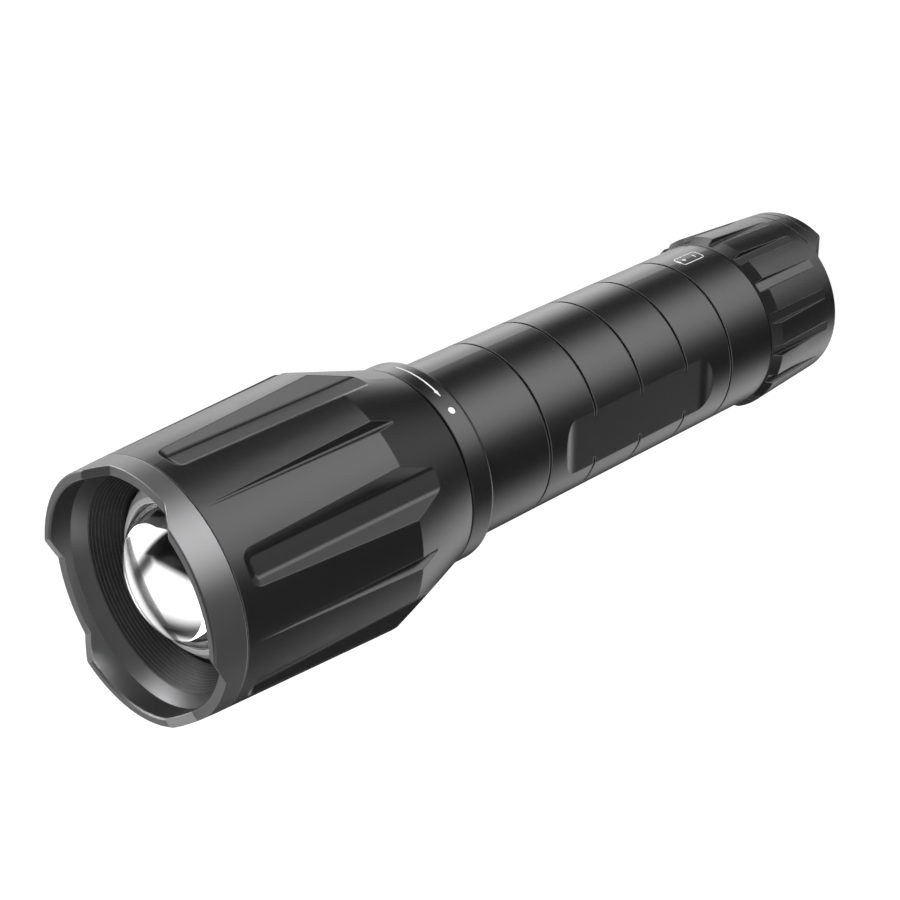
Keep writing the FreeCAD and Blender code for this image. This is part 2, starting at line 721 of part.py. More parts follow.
def make_tube():
    """Body tube: turned, threaded at both ends, five fine grooves and one milled flat."""
    groove_bed = "tail_seal_diameter / 2 - tail_seal_length * 0.35"
    seal_low = "tail_thread_end + tail_seal_length * 0.25"
    seal_high = "tail_thread_end + tail_seal_length * 0.75"
    body = turned("body_tube", [
        ("cell_bore", "tube_end"),
        ("tail_thread_diameter / 2", "tube_end"),
        ("tail_thread_diameter / 2", "tail_thread_end"),
        ("tail_seal_diameter / 2", "tail_thread_end + seam_gap"),
        ("tail_seal_diameter / 2", seal_low),
        (groove_bed, seal_low),
        (groove_bed, seal_high),
        ("tail_seal_diameter / 2", seal_high),
        ("tail_seal_diameter / 2", "tube_rear"),
        ("tube_diameter / 2", "tube_rear"),
        ("tube_diameter / 2", "index_rear"),
        ("front_thread_diameter / 2", "index_rear"),
        ("front_thread_diameter / 2", "tube_front"),
        ("pill_bore", "tube_front"),
        ("pill_bore", "pill_seat"),
        ("cell_bore", "pill_seat"),
    ])
    dress(body, "Chamfer", "tube_rear_chamfer", [("tube_diameter / 2", "tube_rear")], "seam_gap * 1.5")
    before = body.Shape.Volume
    first = "tube_rear + groove_first"
    bed = "tube_diameter / 2 - groove_depth"
    sketch = outline(body, "ring_groove_profile", [
        (bed, first + " - groove_width / 2"),
        ("tube_diameter / 2 + 1", first + " - groove_width / 2"),
        ("tube_diameter / 2 + 1", first + " + groove_width / 2"),
        (bed, first + " + groove_width / 2"),
    ])
    cut = groove(body, "ring_groove", sketch)
    row = body.newObject("PartDesign::LinearPattern", "ring_grooves")
    row.Originals = [cut]
    row.Direction = (origin_item(body, "Z_Axis"), [""])
    row.Mode = "Spacing"
    row.setExpression("Offset", bind("groove_pitch"))
    row.setExpression("Occurrences", bind("groove_count"))
    body.Tip = row
    doc.recompute()
    must_cut(body, before, "ring grooves")
    # The flat is milled with a round cutter whose axis lies across the tube, so its ends run out in arcs.
    before = body.Shape.Volume
    centre = "-(tube_diameter / 2 - flat_depth + flat_cutter_radius)"
    low = "tube_rear + flat_start"
    sketch = slot_outline(body, "milled_flat_profile", "YZ_Plane", centre, low,
                          low + " + flat_length", "flat_cutter_radius")
    pocket(body, "milled_flat", sketch, "tube_diameter", both_ways=True)
    must_cut(body, before, "milled flat")
    return body


def make_index_ring():
    """Marking ring clamped between the tube's shoulder and the neck, with a dimple for its dot."""
    body = turned("index_ring", [
        ("front_thread_bore", "index_rear"),
        ("index_diameter / 2", "index_rear"),
        ("index_diameter / 2", "index_front"),
        ("front_thread_bore", "index_front"),
    ])
    rear = [("index_diameter / 2", "index_rear")]
    dress(body, "Fillet", "index_rear_round", rear, "min(index_round; index_length / 3)")
    front = [("index_diameter / 2", "index_front")]
    dress(body, "Chamfer", "index_front_chamfer", front, "seam_gap")
    before = body.Shape.Volume
    sketch = new_sketch(body, "index_dot_profile", "YZ_Plane", "index_diameter / 2 - index_dot_depth")
    spot = FreeCAD.Vector(0, value("index_rear + index_dot_height"), 0)
    sketch.addGeometry(Part.Circle(spot, FreeCAD.Vector(0, 0, 1), value("index_dot_diameter / 2")))
    hold(sketch, "DistanceX", 0, 3, "0")
    hold(sketch, "DistanceY", 0, 3, "index_rear + index_dot_height")
    index = sketch.addConstraint(Sketcher.Constraint("Radius", 0, value("index_dot_diameter / 2")))
    sketch.setExpression("Constraints[%d]" % index, bind("index_dot_diameter / 2"))
    pocket(body, "index_dot", sketch, "index_dot_depth * 3", flip=True)
    must_cut(body, before, "index dot")
    body.Placement.Rotation = FreeCAD.Rotation(FreeCAD.Vector(0, 0, 1), 1)
    body.setExpression("Placement.Rotation.Angle", bind("index_dot_angle") + " * 1 deg")
    return body


def make_neck():
    """Fixed sleeve that the head turns on. Two straight slots keep the lens carriage from turning."""
    seal_bed = "neck_diameter / 2 - head_seal_wire"
    seal_low = "neck_rear + neck_step * 0.45"
    body = turned("neck", [
        ("front_thread_bore", "neck_rear"),
        ("neck_diameter / 2", "neck_rear"),
        ("neck_diameter / 2", seal_low),
        (seal_bed, seal_low),
        (seal_bed, seal_low + " + head_seal_wire * 1.2"),
        ("neck_diameter / 2", seal_low + " + head_seal_wire * 1.2"),
        ("neck_diameter / 2", "neck_step_height"),
        ("neck_upper_radius", "neck_step_height"),
        ("neck_upper_radius", "neck_front"),
        ("chamber_bore", "neck_front"),
        ("chamber_bore", "chamber_rear"),
        ("pill_bore", "chamber_rear"),
        ("pill_bore", "neck_seat_rear"),
        ("front_thread_bore", "neck_seat_rear"),
    ])
    before = body.Shape.Volume
    sketch = slot_outline(body, "key_slot_profile", "YZ_Plane", "0", "pin_height - focus_travel",
                          "pin_height", "pin_bore")
    pocket(body, "key_slots", sketch, "neck_diameter + 10", both_ways=True)
    must_cut(body, before, "key slots")
    body.Placement.Rotation = FreeCAD.Rotation(FreeCAD.Vector(0, 0, 1), 1)
    body.setExpression("Placement.Rotation.Angle", bind("pin_angle") + " * 1 deg")
    turned("slip_washer", [
        ("neck_diameter / 2 + washer_play", "index_front + washer_play"),
        ("head_rear_diameter / 2 - washer_recess", "index_front + washer_play"),
        ("head_rear_diameter / 2 - washer_recess", "grip_rear - washer_play"),
        ("neck_diameter / 2 + washer_play", "grip_rear - washer_play"),
    ])
    return body


def seal_ring(node, inner, wire, height):
    """Round-section seal ring that lies in its groove."""
    ring = doc.addObject("Part::Torus", node)
    ring.setExpression("Radius1", bind(inner + " + (" + wire + ") / 2"))
    ring.setExpression("Radius2", bind("(" + wire + ") / 2"))
    ring.setExpression("Placement.Base.z", bind(height))
    ring.Label = node
    return ring


def make_seals():
    seal_ring("head_seal", "neck_diameter / 2 - head_seal_wire + washer_play", "head_seal_wire",
              "neck_rear + neck_step * 0.45 + head_seal_wire * 0.6")
    seal_ring("tail_seal", "tail_seal_diameter / 2 - tail_seal_length * 0.35 + washer_play",
              "tail_seal_length * 0.35", "tail_thread_end + tail_seal_length * 0.5")


def flute_floor_edges(body):
    """Names of the straight and round edges that bound the flat floors of the wide flutes."""
    names = []
    depth = value("flute_floor")
    count = int(value("flute_count"))
    for number, edge in enumerate(body.Shape.Edges, start=1):
        if not isinstance(edge.Curve, (Part.Line, Part.Circle)):
            continue
        middle = edge.valueAt((edge.FirstParameter + edge.LastParameter) / 2)
        for k in range(count):
            angle = 2 * math.pi * k / count
            out = FreeCAD.Vector(math.cos(angle), math.sin(angle), 0)
            ends = [vertex.Point.dot(out) for vertex in edge.Vertexes]
            if all(abs(reach - depth) < 0.01 for reach in ends + [middle.dot(out)]):
                names.append("Edge%d" % number)
    return names


def make_grip():
    """Focus head sleeve: long taper behind a sharp shoulder, wide and narrow flutes, cam grooves."""
    counterbore = "spigot_diameter / 2 + thread_clearance"
    body = turned("head_grip", [
        ("head_rear_bore", "grip_rear"),
        ("head_rear_diameter / 2", "grip_rear"),
        ("shoulder_diameter / 2", "shoulder_height"),
        ("head_front_diameter / 2", "grip_front"),
        (counterbore, "grip_front"),
        (counterbore, "grip_front - bezel_counterbore_depth"),
        ("head_bore", "grip_front - bezel_counterbore_depth"),
        ("head_bore", "grip_step_height"),
        ("head_rear_bore", "grip_step_height"),
    ])
    dress(body, "Chamfer", "head_rear_edge", [("head_rear_diameter / 2", "grip_rear")], "head_rear_chamfer")
    # Wide flute: a flat floor parallel to the axis with walls that lean out evenly, front end included.
    before = body.Shape.Volume
    rise = "(shoulder_diameter / 2 + 1 - flute_floor)"
    spread = rise + " * tan(flute_wall_angle)"
    front = "grip_front - flute_front - (head_front_diameter / 2 - flute_floor) * tan(flute_wall_angle)"
    layers = []
    for name, lift, grow in (("floor", "flute_floor", "0"), ("mouth", "flute_floor + " + rise, spread)):
        layers.append(tongue_outline(body, "flute_" + name, lift, "flute_width / 2 + " + grow, "grip_rear",
                                     front + " + " + grow, "flute_corner + (" + grow + ") * 0.6"))
    flute = body.newObject("PartDesign::SubtractiveLoft", "wide_flute")
    flute.Profile = layers[0]
    flute.Sections = [layers[1]]
    flute.Ruled = True
    doc.recompute()
    pattern_round(body, "wide_flutes", flute, "flute_count")
    must_cut(body, before, "wide flutes")
    base = body.Tip
    names = flute_floor_edges(body)
    feature = body.newObject("PartDesign::Fillet", "flute_floor_fillet")
    feature.Base = (base, names)
    feature.setExpression("Radius", bind("flute_floor_round"))
    body.Tip = feature
    doc.recompute()
    # Narrow flute: a vee with a thin flat floor parallel to the axis, half way between two wide ones.
    before = body.Shape.Volume
    top = "shoulder_diameter / 2 + 1"
    half = "vee_floor_width / 2 + (shoulder_diameter / 2 + 1 - vee_bottom) * tan(vee_half_angle)"
    sketch = outline(body, "vee_profile", [
        ("vee_bottom", "-vee_floor_width / 2"),
        ("vee_bottom", "vee_floor_width / 2"),
        (top, half),
        (top, "-(" + half + ")"),
    ], role="XY_Plane", lift="grip_front + 1")
    turn = FreeCAD.Rotation(FreeCAD.Vector(0, 0, 1), 1)
    sketch.AttachmentOffset = FreeCAD.Placement(sketch.AttachmentOffset.Base, turn)
    sketch.setExpression("AttachmentOffset.Base.z", bind("grip_front + 1"))
    sketch.setExpression("AttachmentOffset.Rotation.Angle", bind("180 / flute_count") + " * 1 deg")
    vee = pocket(body, "vee_flute", sketch, "grip_length")
    pattern_round(body, "vee_flutes", vee, "flute_count")
    must_cut(body, before, "vee flutes")
    # Cam grooves: each pin of the lens carriage runs in one while the head turns.
    before = body.Shape.Volume
    sketch = outline(body, "cam_profile", [
        ("head_bore - 1", "pin_height - focus_travel - cam_lead * cam_margin / 360 - pin_bore"),
        ("head_bore + cam_depth", "pin_height - focus_travel - cam_lead * cam_margin / 360 - pin_bore"),
        ("head_bore + cam_depth", "pin_height - focus_travel - cam_lead * cam_margin / 360 + pin_bore"),
        ("head_bore - 1", "pin_height - focus_travel - cam_lead * cam_margin / 360 + pin_bore"),
    ])
    turn = FreeCAD.Rotation(FreeCAD.Vector(0, 1, 0), 1)
    sketch.AttachmentOffset = FreeCAD.Placement(FreeCAD.Vector(), turn)
    start = bind("pin_angle - grip_turn - focus_range - cam_margin")
    sketch.setExpression("AttachmentOffset.Rotation.Angle", "(" + start + ") * 1 deg")
    cam = body.newObject("PartDesign::SubtractiveHelix", "cam_groove")
    cam.Profile = sketch
    cam.ReferenceAxis = (sketch, ["V_Axis"])
    cam.Mode = 0
    cam.setExpression("Pitch", bind("cam_lead"))
    cam.setExpression("Height", bind("cam_lead * (focus_range + 2 * cam_margin) / 360"))
    doc.recompute()
    pattern_round(body, "cam_grooves", cam, "2")
    must_cut(body, before, "cam grooves")
    body.Placement.Rotation = FreeCAD.Rotation(FreeCAD.Vector(0, 0, 1), 1)
    body.setExpression("Placement.Rotation.Angle", bind("grip_turn") + " * 1 deg")
    return body


def make_bezel():
    """Castellated front ring, screwed into the sleeve, with fine anti-glare steps turned inside."""
    points = [
        ("throat_diameter / 2", "spigot_rear"),
        ("spigot_diameter / 2", "spigot_rear"),
        ("spigot_diameter / 2", "bezel_rear"),
        ("head_front_diameter / 2", "bezel_rear"),
        ("bezel_front_diameter / 2", "tooth_tip"),
        ("mouth_diameter / 2", "tooth_tip"),
        ("mouth_diameter / 2", "cone_front"),
        ("cone_end_diameter / 2", "cone_rear"),
    ]
    step = "rib_zone_length / rib_count"
    shrink = "(cone_end_diameter - throat_diameter) / 2 / rib_count"
    for k in range(int(value("rib_count"))):
        radius = "cone_end_diameter / 2 - %d * %s" % (k, shrink)
        height = "cone_rear - %d * %s" % (k, step)
        points.append((radius + " + rib_depth", height + " - rib_depth"))
        points.append((radius + " - " + shrink, height + " - " + step))
    body = turned("bezel_ring", points)
    rim = [("bezel_front_diameter / 2", "tooth_tip"), ("mouth_diameter / 2", "tooth_tip")]
    dress(body, "Chamfer", "bezel_rim_chamfer", rim, "bezel_chamfer")
    before = body.Shape.Volume
    reach = "bezel_front_diameter / 2"
    foot = reach + " * sin(gap_floor_angle / 2)"
    top = reach + " * sin(gap_top_angle / 2)"
    slope = "(" + top + " - " + foot + ")"
    sketch = outline(body, "castle_gap_profile", [
        ("-(" + foot + ")", "tooth_tip - tooth_height"),
        (foot, "tooth_tip - tooth_height"),
        (foot + " + " + slope + " * 1.5", "tooth_tip + tooth_height / 2"),
        ("-(" + foot + " + " + slope + " * 1.5)", "tooth_tip + tooth_height / 2"),
    ], role="YZ_Plane")
    turn = FreeCAD.Rotation(FreeCAD.Vector(0, 1, 0), 1)
    sketch.AttachmentOffset = FreeCAD.Placement(FreeCAD.Vector(), turn)
    sketch.setExpression("AttachmentOffset.Rotation.Angle", bind("180 / tooth_count") + " * 1 deg")
    gap = pocket(body, "castle_gap", sketch, "head_front_diameter", flip=True)
    pattern_round(body, "castle_gaps", gap, "tooth_count")
    must_cut(body, before, "castle gaps")
    body.Placement.Rotation = FreeCAD.Rotation(FreeCAD.Vector(0, 0, 1), 1)
    body.setExpression("Placement.Rotation.Angle", bind("bezel_turn") + " * 1 deg")
    return body


def make_lens():
    """Strongly convex lens: a flat-backed flange under a dome cut from a ball."""
    rim = "lens_dome_diameter / 2"
    squares = "((" + rim + ") * (" + rim + ") + lens_dome_height * lens_dome_height)"
    ball_radius = squares + " / (2 * lens_dome_height)"
    ball = doc.addObject("Part::Sphere", "lens_ball")
    ball.setExpression("Radius", bind(ball_radius))
    ball.setExpression("Placement.Base.z", bind("lens_tip - " + ball_radius))
    length = "lens_flange_thickness * 2 + lens_dome_height"
    column = rod("lens_column", rim, length, z="lens_flange_front - 1")
    dome = join("Common", "lens_dome", ball, column)
    flange = rod("lens_flange", "lens_flange_diameter / 2", "lens_flange_thickness", z="lens_back")
    join("Fuse", "lens", dome, flange)


def make_carriage():
    """Sliding lens carrier with its screw-on retaining ring, lens seal and two drive pins."""
    bore = "carrier_radius - carrier_wall"
    seal_inner = "lens_flange_diameter / 2 - lens_seal_width"
    body = turned("lens_carrier", [
        (bore, "carrier_rear"),
        ("carrier_radius", "carrier_rear"),
        ("carrier_radius", "carrier_shoulder"),
        ("carrier_neck_diameter / 2", "carrier_shoulder"),
        ("carrier_neck_diameter / 2", "carrier_front"),
        (seal_inner + " - seam_gap", "carrier_front"),
        (seal_inner + " - seam_gap", "carrier_shoulder"),
    ])
    before = body.Shape.Volume
    sketch = outline(body, "seal_seat_profile", [
        (seal_inner + " - 2", "carrier_front - lens_seal_thickness"),
        ("lens_flange_diameter / 2", "carrier_front - lens_seal_thickness"),
        ("lens_flange_diameter / 2", "carrier_front + 1"),
        (seal_inner + " - 2", "carrier_front + 1"),
    ])
    groove(body, "seal_seat", sketch)
    must_cut(body, before, "seal seat")
    before = body.Shape.Volume
    sketch = new_sketch(body, "pin_hole_profile", "YZ_Plane")
    spot = FreeCAD.Vector(0, value("pin_height"), 0)
    sketch.addGeometry(Part.Circle(spot, FreeCAD.Vector(0, 0, 1), value("pin_diameter / 2")))
    hold(sketch, "DistanceX", 0, 3, "0")
    hold(sketch, "DistanceY", 0, 3, "pin_height")
    radius = value("pin_diameter / 2 + washer_play / 2")
    index = sketch.addConstraint(Sketcher.Constraint("Radius", 0, radius))
    sketch.setExpression("Constraints[%d]" % index, bind("pin_diameter / 2 + washer_play / 2"))
    pocket(body, "pin_holes", sketch, "neck_diameter", both_ways=True)
    must_cut(body, before, "pin holes")
    body.Placement.Rotation = FreeCAD.Rotation(FreeCAD.Vector(0, 0, 1), 1)
    body.setExpression("Placement.Rotation.Angle", bind("pin_angle") + " * 1 deg")
    turned("lens_seal", [
        (seal_inner, "carrier_front - lens_seal_thickness"),
        ("lens_flange_diameter / 2 - washer_play", "carrier_front - lens_seal_thickness"),
        ("lens_flange_diameter / 2 - washer_play", "lens_back"),
        (seal_inner, "lens_back"),
    ])
    ring = turned("lens_retainer", [
        ("retainer_bore", "lens_back - retainer_skirt"),
        ("retainer_radius", "lens_back - retainer_skirt"),
        ("retainer_radius", "lens_back"),
        ("retainer_nose_diameter / 2", "retainer_lip"),
        ("retainer_face_diameter / 2", "retainer_face"),
        ("retainer_face_diameter / 2 - retainer_face_width", "retainer_face + seam_gap"),
        ("lens_dome_diameter / 2 + seam_gap", "retainer_lip"),
        ("lens_pocket", "retainer_lip"),
        ("lens_pocket", "lens_back"),
        ("retainer_bore", "lens_back"),
    ])
    pins = []
    start = "carrier_radius - carrier_wall + seam_gap * 2"
    length = "head_bore + pin_engagement - (" + start + ")"
    for name, side in (("front", 1), ("back", -1)):
        pin = rod("drive_pin_" + name, "pin_diameter / 2", length, across=True)
        angle = value("pin_angle") + (0 if side > 0 else 180)
        spin = FreeCAD.Rotation(FreeCAD.Vector(0, 0, 1), angle)
        pin.Placement.Rotation = spin.multiply(FreeCAD.Rotation(FreeCAD.Vector(0, 1, 0), 90))
        turn = "(" + bind("pin_angle") + " + %d)" % (0 if side > 0 else 180)
        pin.setExpression("Placement.Base.x", bind("(" + start + ")") + " * cos(" + turn + ")")
        pin.setExpression("Placement.Base.y", bind("(" + start + ")") + " * sin(" + turn + ")")
        pin.setExpression("Placement.Base.z", bind("pin_height"))
        pins.append(pin)
    group = doc.addObject("Part::Compound", "drive_pins")
    group.Links = pins
    group.Label = "drive_pins"
    doc.recompute()
    return ring


def make_light_engine():
    """Finned-free metal pill with the driver behind and the emitter on its own board in front."""
    pill = turned("led_pill", [
        ("pill_cavity", "pill_rear"),
        ("pill_diameter / 2", "pill_rear"),
        ("pill_diameter / 2", "chamber_rear"),
        ("pedestal_diameter / 2", "chamber_rear"),
        ("pedestal_diameter / 2", "pill_front"),
        ("0", "pill_front"),
        ("0", "pill_rear + pill_cavity_depth"),
        ("pill_cavity", "pill_rear + pill_cavity_depth"),
    ])
    holes = new_sketch(pill, "wire_hole_profile", "XY_Plane", "pill_front")
    up = FreeCAD.Vector(0, 0, 1)
    hole = value("wire_diameter / 2 + seam_gap / 2")
    for k, side in enumerate(("wire_spacing / 2", "-wire_spacing / 2")):
        holes.addGeometry(Part.Circle(FreeCAD.Vector(value(side), 0, 0), up, hole))
        hold(holes, "DistanceX", k, 3, side)
        hold(holes, "DistanceY", k, 3, "0")
        index = holes.addConstraint(Sketcher.Constraint("Radius", k, hole))
        holes.setExpression("Constraints[%d]" % index, bind("wire_diameter / 2 + seam_gap / 2"))
    before = pill.Shape.Volume
    pocket(pill, "wire_holes", holes, "pill_length")
    must_cut(pill, before, "wire holes")
    turned("driver_board", [
        ("0", "driver_rear"),
        ("pill_cavity - seam_gap", "driver_rear"),
        ("pill_cavity - seam_gap", "driver_front"),
        ("0", "driver_front"),
    ])
    turned("driver_retainer", [
        ("pill_cavity - driver_thickness", "pill_rear + seam_gap"),
        ("pill_cavity - thread_clearance", "pill_rear + seam_gap"),
        ("pill_cavity - thread_clearance", "driver_rear"),
        ("pill_cavity - driver_thickness", "driver_rear"),
    ])
    choke = rod("driver_choke", "driver_choke_diameter / 2", "driver_choke_height", y="driver_part_offset",
                z="driver_front")
    chips = [choke]
    for name, x, y, width, depth, height in (
            ("controller", "-driver_part_offset", "-driver_part_offset / 2", "driver_chip_width",
             "driver_chip_width", "driver_chip_height"),
            ("capacitor", "driver_part_offset", "-driver_part_offset", "driver_chip_width / 2",
             "driver_chip_width", "driver_chip_height")):
        chip = block("driver_" + name, width, depth, height, "driver_front")
        chip.setExpression("Placement.Base.x", bind(x + " - (" + width + ") / 2"))
        chip.setExpression("Placement.Base.y", bind(y + " - (" + depth + ") / 2"))
        chips.append(chip)
    mounted = doc.addObject("Part::Compound", "driver_parts")
    mounted.Links = chips
    mounted.Label = "driver_parts"
    coil("front_spring", "nub_top", "driver_rear", "cell_nub_diameter", "spring_diameter", 3.5)
    board = rod("led_board_disc", "led_board_diameter / 2", "led_board_thickness", z="pill_front")
    slots = []
    for name, side in (("right", "wire_spacing / 2"), ("left", "-wire_spacing / 2")):
        slots.append(rod("board_hole_" + name, "wire_diameter / 2 + seam_gap / 2", "led_board_thickness * 3",
                         x=side, z="pill_front - led_board_thickness"))
    pierced = join("Cut", "led_board_pierced", board, slots[0])
    join("Cut", "led_board", pierced, slots[1])
    base = block("led_base", "led_width", "led_width", "led_base_height", "led_board_front")
    dome = doc.addObject("Part::Sphere", "led_dome")
    dome.setExpression("Radius", bind("led_dome_diameter / 2"))
    dome.setExpression("Placement.Base.z", bind("led_base_front"))
    dome.Angle1 = 0
    join("Fuse", "led_emitter", base, dome)
    wires = []
    for name, side in (("right", "wire_spacing / 2"), ("left", "-wire_spacing / 2")):
        wires.append(rod("wire_" + name, "wire_diameter / 2", "led_board_front - driver_front",
                         x=side, z="driver_front"))
    group = doc.addObject("Part::Compound", "led_wires")
    group.Links = wires
    group.Label = "led_wires"
    doc.recompute()


def make_cell():
    """Sealed rechargeable cell with its positive button towards the lens."""
    barrel = rod("cell_barrel", "cell_diameter / 2", "cell_length", z="cell_rear")
    nub = rod("cell_nub", "cell_nub_diameter / 2", "cell_nub_height", z="cell_front")
    join("Fuse", "battery_cell", barrel, nub)


make_tail_cap()
make_button()
make_switch()
make_tube()
make_index_ring()
make_neck()
make_seals()
make_grip()
make_bezel()
make_lens()
make_carriage()
make_light_engine()
make_cell()
doc.recompute()

NODES = [
    "tail_cap", "tail_button", "switch_stem", "switch_holder", "click_switch", "switch_board",
    "switch_retainer", "tail_spring", "tail_seal", "body_tube", "battery_cell", "index_ring", "neck",
    "slip_washer", "head_seal", "head_grip", "bezel_ring", "lens", "lens_retainer", "lens_seal",
    "lens_carrier", "drive_pins", "led_pill", "led_board", "led_emitter", "led_wires", "driver_board",
    "driver_parts", "driver_retainer", "front_spring",
]

for item in doc.Objects:
    if "Invalid" in item.State or "Error" in item.State:
        raise ValueError(item.Name + " failed: " + ", ".join(item.State))
pieces = {}
for node in NODES:
    pieces[node] = doc.getObjectsByLabel(node)[0]
    shape = pieces[node].Shape
    if shape.isNull() or not shape.isValid() or not shape.Solids:
        raise ValueError(node + " has no sound solid")
os.makedirs("parts", exist_ok=True)
for node, piece in pieces.items():
    piece.Shape.exportStep(os.path.join("parts", node + ".step"))
    box = piece.Shape.BoundBox
    print("%-18s solids %d  volume %9.2f  z %7.2f to %7.2f" %
          (node, len(piece.Shape.Solids), piece.Shape.Volume, box.ZMin, box.ZMax))
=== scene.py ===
# %% [markdown]
# # A black infrared illuminator
#
# This lesson dresses a hand-held infrared illuminator: a fluted focus head with a castellated bezel,
# a convex lens in a light grey ring, a grooved tube and a grooved tail cap. The solids come from the
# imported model, already in place. Here they get their finishes, their white marks and a small studio.

import math

import bmesh
import bpy
from mathutils import Matrix, Vector


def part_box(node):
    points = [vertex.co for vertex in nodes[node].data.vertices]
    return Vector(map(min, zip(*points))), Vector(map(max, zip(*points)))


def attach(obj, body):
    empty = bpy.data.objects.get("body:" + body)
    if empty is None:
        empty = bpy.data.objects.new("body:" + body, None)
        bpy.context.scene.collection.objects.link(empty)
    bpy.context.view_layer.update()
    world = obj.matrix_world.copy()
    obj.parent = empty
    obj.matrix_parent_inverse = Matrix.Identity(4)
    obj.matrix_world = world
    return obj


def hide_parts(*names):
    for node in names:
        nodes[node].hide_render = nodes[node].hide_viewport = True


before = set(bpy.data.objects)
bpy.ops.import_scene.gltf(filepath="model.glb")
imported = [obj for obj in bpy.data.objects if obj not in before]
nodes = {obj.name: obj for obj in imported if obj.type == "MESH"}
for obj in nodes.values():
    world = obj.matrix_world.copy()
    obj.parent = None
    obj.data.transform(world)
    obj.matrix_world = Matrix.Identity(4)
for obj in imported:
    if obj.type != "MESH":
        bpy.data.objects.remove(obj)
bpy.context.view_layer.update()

# %% [markdown]
# ## Camera
#
# A camera could be steered with angles until the picture looks right, but a camera that was worked
# out from the object's own circles is exact. Its place and its three directions are written down
# here in the object's frame, with +Z along the lens axis. The lens is a long one, 88 mm on a 36 mm
# sensor, which is why the head is only a little larger than plain perspective would leave the tail.

# %% Camera
camera_data = bpy.data.cameras.new("camera")
camera_data.lens = 87.92
camera_data.sensor_width = 36.0
camera_data.clip_start = 0.01
camera_data.clip_end = 20.0
camera = bpy.data.objects.new("camera", camera_data)
bpy.context.scene.collection.objects.link(camera)
camera_place = Vector((0.143321, -0.188136, 0.258476))
to_right = Vector((-0.004147, -0.702242, -0.711926))
to_top = Vector((0.877955, 0.338266, -0.338779))
to_back = to_right.cross(to_top)
turn = Matrix((to_right, to_top, to_back)).transposed().to_4x4()
camera.matrix_world = Matrix.Translation(camera_place) @ turn
bpy.context.scene.camera = camera
bpy.context.scene.view_settings.view_transform = "Standard"
print("camera stands", round(camera_place.length * 1000), "mm from the ears")

# %% [markdown]
# ## Materials in code
#
# Each material is a small tree of nodes. It could be clicked together in the shader editor, but code
# can be read and changed by a value, so three short functions make a material, a node and a sum.

# %% Helpers for materials
def new_material(name):
    material = bpy.data.materials.new(name)
    material.use_nodes = True
    tree = material.node_tree
    tree.nodes.clear()
    output = tree.nodes.new("ShaderNodeOutputMaterial")
    return material, tree, output


def add_node(tree, kind, **values):
    """A node of this kind. Values go to the sockets of the same name, with _ for a space."""
    node = tree.nodes.new(kind)
    for name, value in values.items():
        node.inputs[name.replace("_", " ")].default_value = value
    return node


def plain_math(tree, operation, first, second):
    node = tree.nodes.new("ShaderNodeMath")
    node.operation = operation
    for socket, value in zip(node.inputs, (first, second)):
        if isinstance(value, (int, float)):
            socket.default_value = value
        else:
            tree.links.new(value, socket)
    return node.outputs[0]

# %% [markdown]
# ## Studio
#
# The background is plain white. If more light made it white, the black finish would wash out, so
# the floor is mostly a white emission for the rays that see it, from the camera or off a glossy or
# clear surface, plus a little diffuse white that darkens where the object keeps the light away.

# %% Floor
def white_for_viewers(tree, background, plain, light_path):
    """Mixes in the white background for camera, glossy and transmission rays."""
    rays = light_path.outputs
    seen = plain_math(tree, "MAXIMUM", rays["Is Camera Ray"], rays["Is Glossy Ray"])
    seen = plain_math(tree, "MAXIMUM", seen, rays["Is Transmission Ray"])
    mix = tree.nodes.new("ShaderNodeMixShader")
    tree.links.new(seen, mix.inputs[0])
    tree.links.new(plain, mix.inputs[1])
    tree.links.new(background, mix.inputs[2])
    return mix.outputs[0]


floor_material, tree, output = new_material("studio_floor")
paper = add_node(tree, "ShaderNodeBsdfDiffuse", Color=(0.82, 0.82, 0.82, 1))
faint = add_node(tree, "ShaderNodeBsdfDiffuse", Color=(0.2, 0.2, 0.2, 1))
glow = add_node(tree, "ShaderNodeEmission", Color=(1, 1, 1, 1), Strength=0.92)
both = tree.nodes.new("ShaderNodeAddShader")
tree.links.new(faint.outputs[0], both.inputs[0])
tree.links.new(glow.outputs[0], both.inputs[1])
path = tree.nodes.new("ShaderNodeLightPath")
shown = white_for_viewers(tree, both.outputs[0], paper.outputs[0], path)
tree.links.new(shown, output.inputs["Surface"])

half_side = 4
corners = [(-half_side, -half_side, 0), (half_side, -half_side, 0)]
corners += [(half_side, half_side, 0), (-half_side, half_side, 0)]
floor_mesh = bpy.data.meshes.new("studio_floor")
floor_mesh.from_pydata(corners, [], [(0, 1, 2, 3)])
floor = bpy.data.objects.new("studio_floor", floor_mesh)
floor.data.materials.append(floor_material)
bpy.context.scene.collection.objects.link(floor)
floor.visible_glossy = False
print("floor", 2 * half_side, "m square lies at z = 0, under the two ears")

# %% [markdown]
# A lens shows the room behind the photographer, upside down and bent. In an all-white room it would be
# a plain white disc, so a black flag and two dark strips hang there, as a product photographer would
# hang them. A picture of a room could be wrapped round the object, but a flag and a strip are only a
# few planes through the object, each with a normal, so these functions make them from directions.

# %% Flags and strips
def aim(azimuth, elevation):
    """Unit vector from the object towards this azimuth and elevation, in degrees."""
    turn = math.radians(azimuth)
    rise = math.radians(elevation)
    return Vector((math.cos(turn) * math.cos(rise), math.sin(turn) * math.cos(rise), math.sin(rise)))


def dot_with(tree, ray, normal):
    """How far the ray points along the normal, from -1 to 1."""
    dot = tree.nodes.new("ShaderNodeVectorMath")
    dot.operation = "DOT_PRODUCT"
    dot.inputs[1].default_value = normal.normalized()
    tree.links.new(ray, dot.inputs[0])
    return dot.outputs["Value"]


